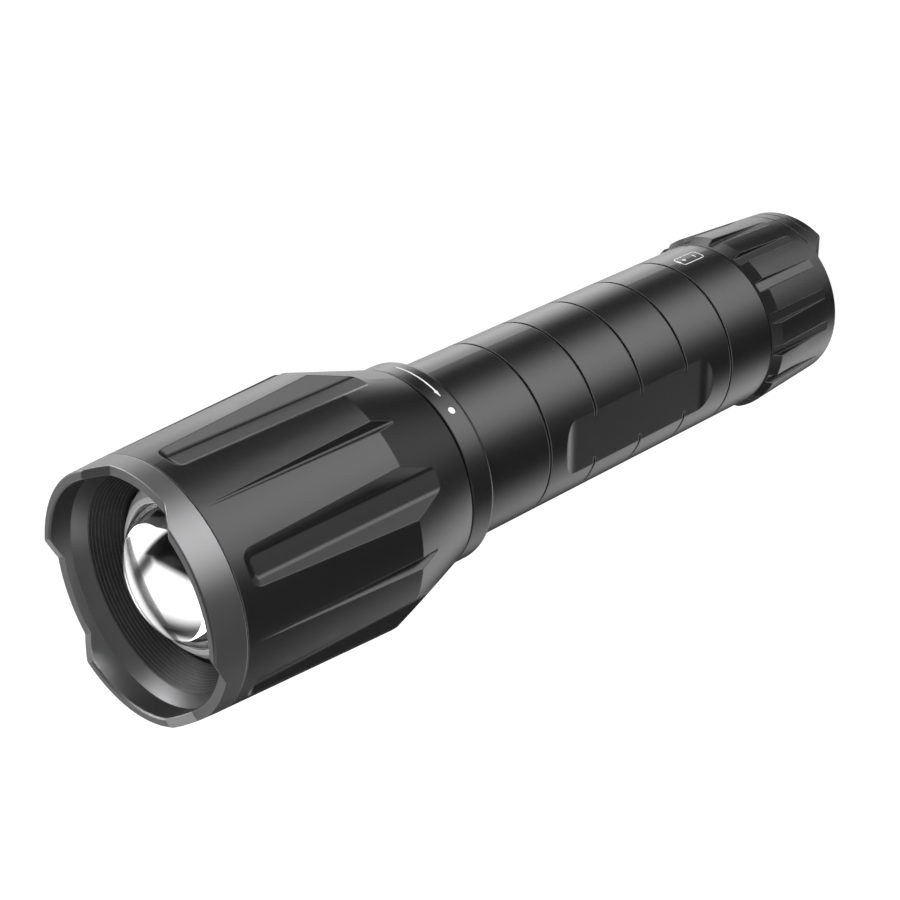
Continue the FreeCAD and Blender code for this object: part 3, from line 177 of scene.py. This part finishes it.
def inside_edge(tree, ray, normal, softness):
    """1 on the side of the plane that its normal points to, 0 on the other, soft between."""
    node = tree.nodes.new("ShaderNodeMapRange")
    node.interpolation_type = "SMOOTHSTEP"
    node.inputs["From Min"].default_value = -softness
    node.inputs["From Max"].default_value = softness
    tree.links.new(dot_with(tree, ray, normal), node.inputs["Value"])
    return node.outputs["Result"]


def upright_strip(tree, ray, azimuth, half_width, strength):
    """A dark strip of paper that hangs at this azimuth, with wide soft edges."""
    away = plain_math(tree, "ABSOLUTE", dot_with(tree, ray, aim(azimuth + 90, 0)), 0.0)
    node = tree.nodes.new("ShaderNodeMapRange")
    node.interpolation_type = "SMOOTHERSTEP"
    node.inputs["From Min"].default_value = math.sin(math.radians(half_width))
    node.inputs["From Max"].default_value = 0.0
    node.inputs["To Max"].default_value = strength
    tree.links.new(away, node.inputs["Value"])
    return node.outputs["Result"]

# %% [markdown]
# The world is white to every ray that sees it, and dimmer to the light that it throws on the object.
# Only rays that have passed through glass see the flag and the strips, so they darken nothing else.

# %% World
world = bpy.data.worlds.new("studio")
bpy.context.scene.world = world
world.use_nodes = True
world.node_tree.nodes.clear()
tree = world.node_tree
output = tree.nodes.new("ShaderNodeOutputWorld")
room = add_node(tree, "ShaderNodeBackground", Color=(1, 1, 1, 1), Strength=0.35)
white = add_node(tree, "ShaderNodeBackground", Color=(1, 1, 1, 1), Strength=1.0)
black = add_node(tree, "ShaderNodeBackground", Color=(0.005, 0.005, 0.005, 1), Strength=1.0)
path = tree.nodes.new("ShaderNodeLightPath")
sky = tree.nodes.new("ShaderNodeTexCoord").outputs["Generated"]
under_top = aim(150, 43).cross(aim(124, 28))
dark = inside_edge(tree, sky, under_top, 0.06)
dark = plain_math(tree, "MULTIPLY", dark, inside_edge(tree, sky, aim(70, 0), 0.05))
dark_strips = {152: (11, 0.95), 72: (27, 1.0)}
for azimuth, (half_width, strength) in dark_strips.items():
    strip = upright_strip(tree, sky, azimuth, half_width, strength)
    dark = plain_math(tree, "MAXIMUM", dark, strip)
dark = plain_math(tree, "MULTIPLY", dark, path.outputs["Is Transmission Ray"])
backdrop = tree.nodes.new("ShaderNodeMixShader")
tree.links.new(dark, backdrop.inputs[0])
through_glass = plain_math(tree, "MULTIPLY", path.outputs["Is Transmission Ray"], 0.35)
tree.links.new(plain_math(tree, "ADD", through_glass, 1.0), white.inputs["Strength"])
tree.links.new(white.outputs[0], backdrop.inputs[1])
tree.links.new(black.outputs[0], backdrop.inputs[2])
shown = white_for_viewers(tree, backdrop.outputs[0], room.outputs[0], path)
tree.links.new(shown, output.inputs["Surface"])
print("white room, with one black flag and", len(dark_strips), "strips for the lens")

# %% [markdown]
# ## Light that the finish mirrors
#
# A satin black cylinder shows what stands round it: light bands where it mirrors a soft box and dark
# bands between them. Real boxes would have to stand below the floor to be mirrored in an upright
# tube, so a large ball round the object carries them. Its material starts dark and adds one soft box
# after another, each by its azimuth, width and brightness.

# %% Soft boxes on a ball
def smooth_step(tree, value, low, high):
    """0 below low, 1 above high, with a soft start and end."""
    node = tree.nodes.new("ShaderNodeMapRange")
    node.interpolation_type = "SMOOTHERSTEP"
    node.inputs["From Min"].default_value = low
    node.inputs["From Max"].default_value = high
    tree.links.new(value, node.inputs["Value"])
    return node.outputs["Result"]


def direction(tree, place, mask):
    """Unit vector towards a place on the ball, with the axes that mask leaves out set to nought."""
    masked = tree.nodes.new("ShaderNodeVectorMath")
    masked.operation = "MULTIPLY"
    masked.inputs[1].default_value = mask
    tree.links.new(place, masked.inputs[0])
    unit = tree.nodes.new("ShaderNodeVectorMath")
    unit.operation = "NORMALIZE"
    tree.links.new(masked.outputs[0], unit.inputs[0])
    return unit.outputs[0]


def box_glow(tree, place, azimuth, half_width, heights, strength):
    """A soft box at an azimuth that fades out evenly to its half width, and up and down.

    The four heights, as sines, are where it starts, is full, begins to fade and has faded out.
    """
    angle = math.radians(azimuth)
    dot = tree.nodes.new("ShaderNodeVectorMath")
    dot.operation = "DOT_PRODUCT"
    dot.inputs[1].default_value = (math.cos(angle), math.sin(angle), 0)
    tree.links.new(direction(tree, place, (1, 1, 0)), dot.inputs[0])
    turned = plain_math(tree, "ARCCOSINE", dot.outputs["Value"], 0.0)
    glow = smooth_step(tree, turned, math.radians(half_width), 0.0)
    split = tree.nodes.new("ShaderNodeSeparateXYZ")
    tree.links.new(direction(tree, place, (1, 1, 1)), split.inputs[0])
    start, full, fading, end = heights
    glow = plain_math(tree, "MULTIPLY", glow, smooth_step(tree, split.outputs["Z"], start, full))
    glow = plain_math(tree, "MULTIPLY", glow, smooth_step(tree, split.outputs["Z"], end, fading))
    return plain_math(tree, "MULTIPLY", glow, strength)

# %% [markdown]
# Each box is named for what the photograph shows of it. The key is the broad light band in the middle
# of the tube, the back the band along its upper edge, and the dark between them is the bare ball. The
# tall lights aren't mirrored towards the photograph's camera: they keep other sides readable.

# %% Soft boxes
soft_boxes = {
    "key, mirrored in the middle of the tube": (-32, 54, (-0.92, -0.66, -0.4, 0.1), 3.0),
    "key's glow on the floor": (-32, 80, (-2, -1.5, -0.5, 0.0), 0.6),
    "back, mirrored along the upper edge": (72, 40, (-0.92, -0.66, -0.6, -0.2), 2.4),
    "back's edge": (112, 30, (-0.95, -0.7, -0.5, 0.2), 0.8),
    "window, mirrored inside the bezel": (58, 48, (-0.3, 0.0, 0.3, 0.7), 5.2),
    "door, mirrored on the bezel's far side": (-140, 32, (0.0, 0.2, 0.4, 0.7), 0.75),
    "fill, mirrored along the lower edge": (-165, 52, (-2, -1.5, -0.8, -0.3), 1.5),
    "tall light for a viewer on the far side": (150, 34, (-0.34, -0.2, 0.0, 0.12), 2.2),
    "tall light for a viewer on the left": (-105, 30, (-0.28, -0.14, 0.0, 0.12), 1.8),
    "tall light for a viewer on the right": (25, 30, (-0.34, -0.2, 0.0, 0.12), 1.8),
    "top, mirrored in what faces the lens's way": (127, 100, (0.1, 0.4, 0.75, 0.92), 0.45),
    "ceiling, mirrored in the bezel's lowest corner": (53, 150, (0.88, 0.96, 2, 3), 2.4),
}
print("brightest box has strength", max(strength for *shape, strength in soft_boxes.values()))

# %% [markdown]
# The bare ball is nearly black, and a little lighter above the horizon, as a room is. Only glossy rays
# see it, and it isn't sampled as a lamp, so it costs little time.

# %% Surround
surround_material, tree, output = new_material("studio_surround")
on_ball = tree.nodes.new("ShaderNodeTexCoord").outputs["Object"]
split = tree.nodes.new("ShaderNodeSeparateXYZ")
tree.links.new(direction(tree, on_ball, (1, 1, 1)), split.inputs[0])
rising = smooth_step(tree, split.outputs["Z"], -0.1, 0.3)
above = plain_math(tree, "MULTIPLY", rising, smooth_step(tree, split.outputs["Z"], 0.85, 0.6))
brightness = plain_math(tree, "ADD", plain_math(tree, "MULTIPLY", above, 0.2), 0.05)
for soft_box in soft_boxes.values():
    brightness = plain_math(tree, "ADD", brightness, box_glow(tree, on_ball, *soft_box))
light = add_node(tree, "ShaderNodeEmission", Color=(1, 1, 1, 1))
tree.links.new(brightness, light.inputs["Strength"])
tree.links.new(light.outputs[0], output.inputs["Surface"])
surround_material.cycles.emission_sampling = "NONE"

middle = Vector((0, 0, 0.07))
surround_radius = 2.5
surround_mesh = bpy.data.meshes.new("studio_surround")
sphere = bmesh.new()
bmesh.ops.create_uvsphere(sphere, u_segments=48, v_segments=24, radius=surround_radius)
sphere.to_mesh(surround_mesh)
sphere.free()
surround = bpy.data.objects.new("studio_surround", surround_mesh)
surround.location = middle
surround.data.materials.append(surround_material)
bpy.context.scene.collection.objects.link(surround)
surround.visible_camera = False
surround.visible_diffuse = False
surround.visible_transmission = False
surround.visible_shadow = False
print("surround of", len(soft_boxes), "soft boxes,", surround_radius, "m in radius")

# %% [markdown]
# ## Lamps
#
# Three plain lamps give the diffuse light and the faint shadow on the floor. The surround could light
# the object too, but lamps have less noise. Each is placed by the direction that it shines from, as
# seen from the middle of the object.

# %% Lamps
def softbox(name, shines_from, distance, width, height, watts):
    data = bpy.data.lights.new(name, "AREA")
    data.shape = "RECTANGLE"
    data.size = width
    data.size_y = height
    data.energy = watts
    lamp = bpy.data.objects.new(name, data)
    bpy.context.scene.collection.objects.link(lamp)
    away = Vector(shines_from).normalized()
    lamp.location = middle + away * distance
    lamp.rotation_mode = "QUATERNION"
    lamp.rotation_quaternion = away.to_track_quat("Z", "Y")
    lamp.visible_camera = False
    lamp.visible_glossy = False
    print(name, "shines from", [round(v, 2) for v in away], "with", watts, "W")
    return lamp


softbox("key_softbox", (0.35, -0.5, 0.8), 0.6, 0.35, 0.35, 4.0)
softbox("side_softbox", (-0.8, -0.5, 0.35), 0.6, 0.3, 0.4, 1.5)
softbox("back_softbox", (0.3, 0.9, 0.3), 0.6, 0.5, 0.2, 2.0)

# %% [markdown]
# ## Finishes
#
# The body, head and cap are aluminium, blasted with fine beads and then dyed black in the anodising
# bath. The dye layer is dark but the surface still shines softly. One shader with a fine noise in
# its roughness and bump gives the blasted grain; a rounded-edge normal gives each milled edge the
# thin highlight that a real, slightly broken edge has, and a painted highlight also makes outer
# edges paler in colour. Every other finish uses the same shader.

# %% Coordinates and noise for finishes
def position(tree, scale=1.0):
    """Object coordinates in millimetres times scale, so that grain has its real size."""
    where = tree.nodes.new("ShaderNodeTexCoord")
    mapping = tree.nodes.new("ShaderNodeMapping")
    mapping.inputs["Scale"].default_value = (1000 * scale,) * 3
    tree.links.new(where.outputs["Object"], mapping.inputs["Vector"])
    return mapping.outputs["Vector"]


def along(tree, axis):
    """Millimetres along X, Y or Z."""
    split = tree.nodes.new("ShaderNodeSeparateXYZ")
    tree.links.new(position(tree), split.inputs[0])
    return split.outputs[axis]


def radius(tree):
    """Millimetres from the lens axis."""
    x = along(tree, "X")
    y = along(tree, "Y")
    squares = plain_math(tree, "ADD", plain_math(tree, "MULTIPLY", x, x), plain_math(tree, "MULTIPLY", y, y))
    return plain_math(tree, "SQRT", squares, 0.0)


def span(tree, value, low, high):
    """Stretches a 0 to 1 value to run from low to high."""
    node = tree.nodes.new("ShaderNodeMapRange")
    node.inputs["To Min"].default_value = low
    node.inputs["To Max"].default_value = high
    tree.links.new(value, node.inputs["Value"])
    return node.outputs["Result"]


def between(tree, value, low, high, soft=0.02):
    """1 where value lies between low and high, 0 elsewhere, soft at both ends."""
    up = smooth_step(tree, value, low - soft, low + soft)
    down = smooth_step(tree, value, high + soft, high - soft)
    return plain_math(tree, "MULTIPLY", up, down)


def noise(tree, vector, scale, detail=2.0):
    node = add_node(tree, "ShaderNodeTexNoise", Scale=scale, Detail=detail)
    tree.links.new(vector, node.inputs["Vector"])
    return node.outputs["Fac"]

# %% [markdown]
# A piece can have more than one finish, such as a ring whose inner steps are duller than its outside.
# So a finish is a plain one with patches over it: each patch has a mask, made from coordinates in
# millimetres, and a surface of its own.

# %% Satin surfaces and patched finishes
def convex_edge(tree, reach):
    """1 at an outer edge, where a short ray into the metal soon comes out again, 0 on a plain face."""
    inward = tree.nodes.new("ShaderNodeAmbientOcclusion")
    inward.inside = True
    inward.only_local = True
    inward.samples = 6
    inward.inputs["Distance"].default_value = reach
    return smooth_step(tree, inward.outputs["AO"], 0.85, 0.35)


def satin(tree, color, metallic, rough, grain=0.02, edge=0.0002, cloud=0.1, worn=0.0):
    """A surface with a fine grain, slightly uneven colour and softly broken edges, with a painted highlight
    that makes its outer edges paler.
    """
    surface = tree.nodes.new("ShaderNodeBsdfPrincipled")
    surface.inputs["Metallic"].default_value = metallic
    where = position(tree)
    fine = noise(tree, where, 7.0)
    cloudy = noise(tree, where, 0.08)
    tree.links.new(span(tree, fine, rough - 0.03, rough + 0.03), surface.inputs["Roughness"])
    shade = tree.nodes.new("ShaderNodeMix")
    shade.data_type = "RGBA"
    shade.inputs["A"].default_value = (*[c * (1 - cloud) for c in color], 1)
    shade.inputs["B"].default_value = (*[c * (1 + cloud) for c in color], 1)
    tree.links.new(cloudy, shade.inputs["Factor"])
    colour = shade.outputs["Result"]
    # Painted highlight: outer edges are mixed towards a pale grey, standing in for the light that a thin
    # rounded edge catches.
    if worn > 0:
        paler = tree.nodes.new("ShaderNodeMix")
        paler.data_type = "RGBA"
        paler.inputs["B"].default_value = (worn, worn, worn, 1)
        tree.links.new(convex_edge(tree, 0.00016), paler.inputs["Factor"])
        tree.links.new(colour, paler.inputs["A"])
        colour = paler.outputs["Result"]
    tree.links.new(colour, surface.inputs["Base Color"])
    bump = add_node(tree, "ShaderNodeBump", Strength=grain, Distance=0.00002)
    tree.links.new(fine, bump.inputs["Height"])
    if edge > 0:
        rounded = tree.nodes.new("ShaderNodeBevel")
        rounded.samples = 4
        rounded.inputs["Radius"].default_value = edge
        tree.links.new(rounded.outputs["Normal"], bump.inputs["Normal"])
    tree.links.new(bump.outputs["Normal"], surface.inputs["Normal"])
    return surface.outputs["BSDF"]


def finish(name, *plain, patches=(), **options):
    """A material: the plain surface, then each patch, a mask and a surface's values, over it."""
    material, tree, output = new_material(name)
    shader = satin(tree, *plain, **options)
    for mask, values in patches:
        mix = tree.nodes.new("ShaderNodeMixShader")
        tree.links.new(mask(tree), mix.inputs[0])
        tree.links.new(shader, mix.inputs[1])
        tree.links.new(satin(tree, *values, **options), mix.inputs[2])
        shader = mix.outputs[0]
    tree.links.new(shader, output.inputs["Surface"])
    return material


def dress(material, *names):
    for name in names:
        mesh = nodes[name].data
        mesh.materials.clear()
        mesh.materials.append(material)
        for face in mesh.polygons:
            face.material_index = 0
    print(material.name, "on", ", ".join(names))

# %% [markdown]
# The tube, head and cap share one satin black. The bezel is polished a little brighter, but the fine
# steps in its cone are there to swallow stray light, so they are duller.

# %% Black outside
def anti_glare_steps(tree):
    """The cone inside the bezel, by its distance from the lens axis."""
    return between(tree, radius(tree), 11.0, 14.62)


# The last number of each of these finishes is the grey of the painted highlight on its outer edges.
body_black = finish("satin_black", (0.007, 0.007, 0.0073), 0.0, 0.24, worn=0.14)
ring_black = finish("ring_black", (0.008, 0.008, 0.0083), 0.0, 0.22, worn=0.14)
dull = (anti_glare_steps, ((0.038, 0.038, 0.039), 0.9, 0.4))
bezel_black = finish("bezel_black", (0.18, 0.18, 0.183), 0.95, 0.33, patches=[dull], worn=0.5)
dress(body_black, "body_tube", "head_grip", "tail_cap")
dress(ring_black, "index_ring")
dress(bezel_black, "bezel_ring")

# %% [markdown]
# Inside, turned parts stay bare. The carriage is polished like a reflector deep behind the lens, and
# painted black in a ring just below it: painted shade, which shows through the lens as a soft dark band.

# %% Metal inside
def above_height(height, softness):
    """A mask that is 1 above this height along the lens axis, in millimetres."""
    return lambda tree: smooth_step(tree, along(tree, "Z"), height - softness, height + softness)


# The ring's last number is the grey of the painted highlight on its outer edges.
lens_grey = finish("lens_ring_grey", (0.42, 0.42, 0.425), 0.35, 0.5, worn=0.6)
turned = finish("turned_metal", (0.62, 0.62, 0.64), 1.0, 0.3)
# Painted shade: a black band on the carriage's wall just under the lens, standing in for the shade there.
painted_shade_ring = (above_height(115.9, 1.3), ((0.01, 0.01, 0.01), 0.0, 0.4))
reflector = finish("carriage_reflector", (0.95, 0.95, 0.95), 1.0, 0.12, patches=[painted_shade_ring])
steel = finish("ground_steel", (0.6, 0.6, 0.6), 1.0, 0.2)
plated = finish("plated_spring", (0.72, 0.66, 0.5), 1.0, 0.25, edge=0)
dress(lens_grey, "lens_retainer")
dress(turned, "neck", "switch_holder", "switch_retainer", "driver_retainer")
dress(reflector, "lens_carrier")
dress(finish("pill_metal_turned", (0.58, 0.58, 0.58), 1.0, 0.3), "led_pill")
dress(steel, "drive_pins")
dress(plated, "tail_spring", "front_spring")

# %% [markdown]
# Rubber scatters light more than plastic does, so it is the rougher of the two. The button has a
# coarser grain than the seals, for the thumb. The emitter is a white ceramic tile with a clear dome.

# %% Rubber and plastic
rubber = finish("seal_rubber_black", (0.03, 0.03, 0.03), 0.0, 0.6, edge=0)
dress(rubber, "tail_seal", "head_seal", "lens_seal")
dress(finish("button_rubber_black", (0.035, 0.035, 0.038), 0.0, 0.55, grain=0.3), "tail_button")
dress(finish("switch_plastic_black", (0.05, 0.05, 0.05), 0.0, 0.45), "switch_stem", "click_switch")
dress(finish("slip_washer_black", (0.04, 0.04, 0.04), 0.0, 0.5, edge=0), "slip_washer")
dome = (above_height(109.95, 0.05), ((0.25, 0.25, 0.24), 0.0, 0.06))
dress(finish("emitter_ceramic", (0.74, 0.74, 0.735), 0.0, 0.4, patches=[dome]), "led_emitter")

# %% [markdown]
# The boards and the cell could be dressed with pictures, but a picture needs a file. A brick pattern
# with long thin joints is enough for the copper lines, and heights and radii part the cell's blue wrap
# from its collar and nub, and the driver's chips from its copper coil.

# %% Boards, cell and wires
def traces(tree):
    """Thin lines under the solder mask, straight along X and Y."""
    lines = tree.nodes.new("ShaderNodeTexBrick")
    lines.inputs["Scale"].default_value = 0.35
    lines.inputs["Mortar Size"].default_value = 0.05
    tree.links.new(position(tree), lines.inputs["Vector"])
    return plain_math(tree, "MULTIPLY", lines.outputs["Fac"], 0.6)


def cell_collar(tree):
    return between(tree, radius(tree), 3.2, 8.4)


def second_wire(tree):
    return smooth_step(tree, along(tree, "X"), -0.01, 0.01)


green_lines = (traces, ((0.08, 0.32, 0.16), 0.2, 0.3))
solder_mask = finish("solder_mask_green", (0.03, 0.2, 0.09), 0.0, 0.3, patches=[green_lines])
dress(solder_mask, "driver_board", "switch_board")
white_lines = (traces, ((0.6, 0.6, 0.58), 0.1, 0.3))
dress(finish("led_board_white", (0.7, 0.7, 0.7), 0.0, 0.35, patches=[white_lines]), "led_board")
coil = (above_height(91.125, 0.025), ((0.3, 0.16, 0.08), 0.8, 0.3))
dress(finish("chip_black", (0.04, 0.04, 0.045), 0.0, 0.4, patches=[coil]), "driver_parts")
collar = (cell_collar, ((0.75, 0.75, 0.72), 0.0, 0.5))
nub = (above_height(83.125, 0.025), ((0.7, 0.7, 0.68), 1.0, 0.25))
dress(finish("cell_wrap_blue", (0.1, 0.18, 0.35), 0.0, 0.3, patches=[collar, nub]), "battery_cell")
black_jacket = (second_wire, ((0.03, 0.03, 0.03), 0.0, 0.4))
red_jacket = (0.45, 0.04, 0.03)
dress(finish("wire_jackets", red_jacket, 0.0, 0.4, patches=[black_jacket], edge=0), "led_wires")

# %% [markdown]
# ## Lens
#
# Light bends at every facet of a coarse lens, so this lens is turned again from its own outline. A
# subdivided mesh would be smooth too, but it would lose the exact ball. This function turns any
# outline round the axis, as a lathe does.

# %% Turned mesh
def turned_mesh(name, outline, segments):
    """Turns (radius, height) points in millimetres round the axis. The ends lie on the axis."""
    mesh = bpy.data.meshes.new(name)
    shape = bmesh.new()
    loops = []
    for r, z in outline:
        if r == 0:
            loops.append([shape.verts.new((0, 0, z / 1000))])
            continue
        angles = [2 * math.pi * k / segments for k in range(segments)]
        points = [(r * math.cos(a) / 1000, r * math.sin(a) / 1000, z / 1000) for a in angles]
        loops.append([shape.verts.new(point) for point in points])
    for first, second in zip(loops, loops[1:]):
        for k in range(segments):
            after = (k + 1) % segments
            if len(first) == 1:
                shape.faces.new((first[0], second[after], second[k]))
            elif len(second) == 1:
                shape.faces.new((first[k], first[after], second[0]))
            else:
                shape.faces.new((first[k], first[after], second[after], second[k]))
    bmesh.ops.recalc_face_normals(shape, faces=shape.faces)
    for face in shape.faces:
        face.smooth = True
    for edge in shape.edges:
        edge.smooth = len(edge.link_faces) == 2 and edge.calc_face_angle() < math.radians(20)
    shape.to_mesh(mesh)
    shape.free()
    piece = bpy.data.objects.new(name, mesh)
    bpy.context.scene.collection.objects.link(piece)
    return piece

# %% [markdown]
# The glass is dense, as in a strong lens, so it bends light more than window glass does. Its coating
# takes away most of the reflection at its surface, which the low specular tint stands for.

# %% Glass
glass, tree, output = new_material("clear_glass")
clear = tree.nodes.new("ShaderNodeBsdfPrincipled")
clear.inputs["Base Color"].default_value = (0.98, 0.98, 0.98, 1)
clear.inputs["Roughness"].default_value = 0.0
clear.inputs["IOR"].default_value = 1.65
clear.inputs["Transmission Weight"].default_value = 1.0
clear.inputs["Specular Tint"].default_value = (0.15, 0.15, 0.15, 1)
tree.links.new(clear.outputs["BSDF"], output.inputs["Surface"])
dress(glass, "lens")

# %% [markdown]
# The outline is a ball's cap over a flat-backed flange. Its back and tip come from the solid lens, and
# the ball's radius follows from the cap's height and rim. The flange, which the retaining ring grips,
# is ground, not polished. The piece stands in for the solid lens and rides on its carriage.

# %% Lens
low_corner, high_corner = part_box("lens")
back = low_corner[2] * 1000
tip = high_corner[2] * 1000
flange, rim, thickness = 10.8, 10.25, 1.2
rings, segments = 48, 160
cap_height = tip - back - thickness
ball_radius = (rim * rim + cap_height * cap_height) / 2 / cap_height
half_opening = math.asin(rim / ball_radius)
if cap_height > ball_radius:
    half_opening = math.pi - half_opening
outline = [(0, back), (flange, back), (flange, back + thickness), (rim, back + thickness)]
for k in range(1, rings):
    slant = half_opening * (1 - k / rings)
    outline.append((ball_radius * math.sin(slant), tip - ball_radius + ball_radius * math.cos(slant)))
outline.append((0, tip))
lens = turned_mesh("clear_lens", outline, segments)
lens.data.materials.append(glass)
lens.data.materials.append(finish("ground_glass_edge", (0.4, 0.4, 0.41), 0.0, 0.6, edge=0))
for face in lens.data.polygons:
    corner_places = [lens.data.vertices[k].co for k in face.vertices]
    if min(math.hypot(place.x, place.y) for place in corner_places) * 1000 > rim - 0.01:
        face.material_index = 1
lens.visible_shadow = False
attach(lens, "lens_carriage")
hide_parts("lens")
print("lens", round(tip - back, 2), "mm thick, ball radius", round(ball_radius, 2), "mm")

# %% [markdown]
# ## White marks
#
# The marks are screen-printed. They could be painted by a texture, but a mesh stays sharp near by. So
# each stroke is a strip of paint, a fiftieth of a millimetre thick, that follows the cylinder that it
# is printed on: its places are millimetres along the axis and round it.

# %% Paint
paint = finish("white_paint", (0.85, 0.85, 0.85), 0.0, 0.4, edge=0)


def stroke(shape, radius, azimuth, start, end, width, end_width=None):
    """A strip from start to end, both (height, millimetres round from the azimuth), in millimetres."""
    begin = Vector(start)
    way = Vector(end) - begin
    side = Vector((-way.y, way.x)).normalized()
    pieces = max(2, round(abs(way.y) / 0.3))
    rows = []
    for k in range(pieces + 1):
        share = k / pieces
        half = (width + ((end_width or width) - width) * share) / 2
        row = []
        for lift, sign in ((-0.01, -1), (-0.01, 1), (0.02, 1), (0.02, -1)):
            height, round_by = begin + way * share + side * half * sign
            angle = math.radians(azimuth) + round_by / radius
            reach = (radius + lift) / 1000
            row.append(shape.verts.new((reach * math.cos(angle), reach * math.sin(angle), height / 1000)))
        rows.append(row)
    for first, second in zip(rows, rows[1:]):
        for k in range(4):
            after = (k + 1) % 4
            shape.faces.new((first[k], first[after], second[after], second[k]))
    shape.faces.new(rows[0])
    shape.faces.new(rows[-1])


def printed(name, shape, body):
    bmesh.ops.recalc_face_normals(shape, faces=shape.faces)
    mesh = bpy.data.meshes.new(name)
    shape.to_mesh(mesh)
    shape.free()
    mesh.materials.append(paint)
    piece = bpy.data.objects.new(name, mesh)
    bpy.context.scene.collection.objects.link(piece)
    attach(piece, body)
    print(name, "on", body, "with", len(mesh.polygons), "faces")

# %% [markdown]
# The arrow on the ring says which way the head turns. Its shaft grows a little towards the head of the
# arrow, which is a stroke that narrows to a point.

# %% Turning arrow
ring_radius = 14.3
mark_height = 81.5
degree = math.radians(1) * ring_radius
arrow = bmesh.new()
tail_end, neck = (mark_height, 9 * degree), (mark_height, -22 * degree)
stroke(arrow, ring_radius, 0, tail_end, neck, 0.14, 0.24)
barbs, point = (mark_height + 0.05, -21.6 * degree), (mark_height, -25.7 * degree)
stroke(arrow, ring_radius, 0, barbs, point, 0.55, 0.05)
printed("turning_arrow", arrow, "body")

# %% [markdown]
# The dot is a thin disc of paint in the dimple that is milled for it, and faces straight outwards.

# %% Index dot
dot_azimuth = math.radians(-35.5)
dot_radius, dot_depth, dot_reach = 0.52, 0.05, 14.17
outwards = Vector((math.cos(dot_azimuth), math.sin(dot_azimuth), 0))
centre = outwards * dot_reach / 1000 + Vector((0, 0, mark_height / 1000))
facing = outwards.to_track_quat("Z", "Y").to_matrix().to_4x4()
dot = bmesh.new()
bmesh.ops.create_cone(
    dot,
    cap_ends=True,
    segments=40,
    radius1=dot_radius / 1000,
    radius2=dot_radius / 1000,
    depth=dot_depth / 1000,
    matrix=Matrix.Translation(centre) @ facing,
)
printed("index_dot", dot, "body")

# %% [markdown]
# The sign near the tail shows a battery, plus end first: a box with cut corners, a thick short stroke
# for the contact, and inside it a plus and a minus.

# %% Battery sign
tube_radius = 12.7
rear, front, half = 21.9, 26.4, 1.15
cut, line = 0.3, 0.13
sign = bmesh.new()
corners = [(rear, -half + cut), (rear, half - cut), (rear + cut, half), (front - cut, half)]
corners += [(front, half - cut), (front, -half + cut), (front - cut, -half), (rear + cut, -half)]
for start, end in zip(corners, corners[1:] + corners[:1]):
    stroke(sign, tube_radius, 0, start, end, line)
contact = [(front, -0.38), (front, 0.38)]
plus = [[(25.2, -0.35), (25.2, 0.35)], [(24.85, 0), (25.55, 0)]]
minus = [(23.0, -0.4), (23.0, 0.4)]
stroke(sign, tube_radius, 0, *contact, 0.36)
for bar in plus:
    stroke(sign, tube_radius, 0, *bar, line)
stroke(sign, tube_radius, 0, *minus, 0.15)
printed("battery_sign", sign, "body")
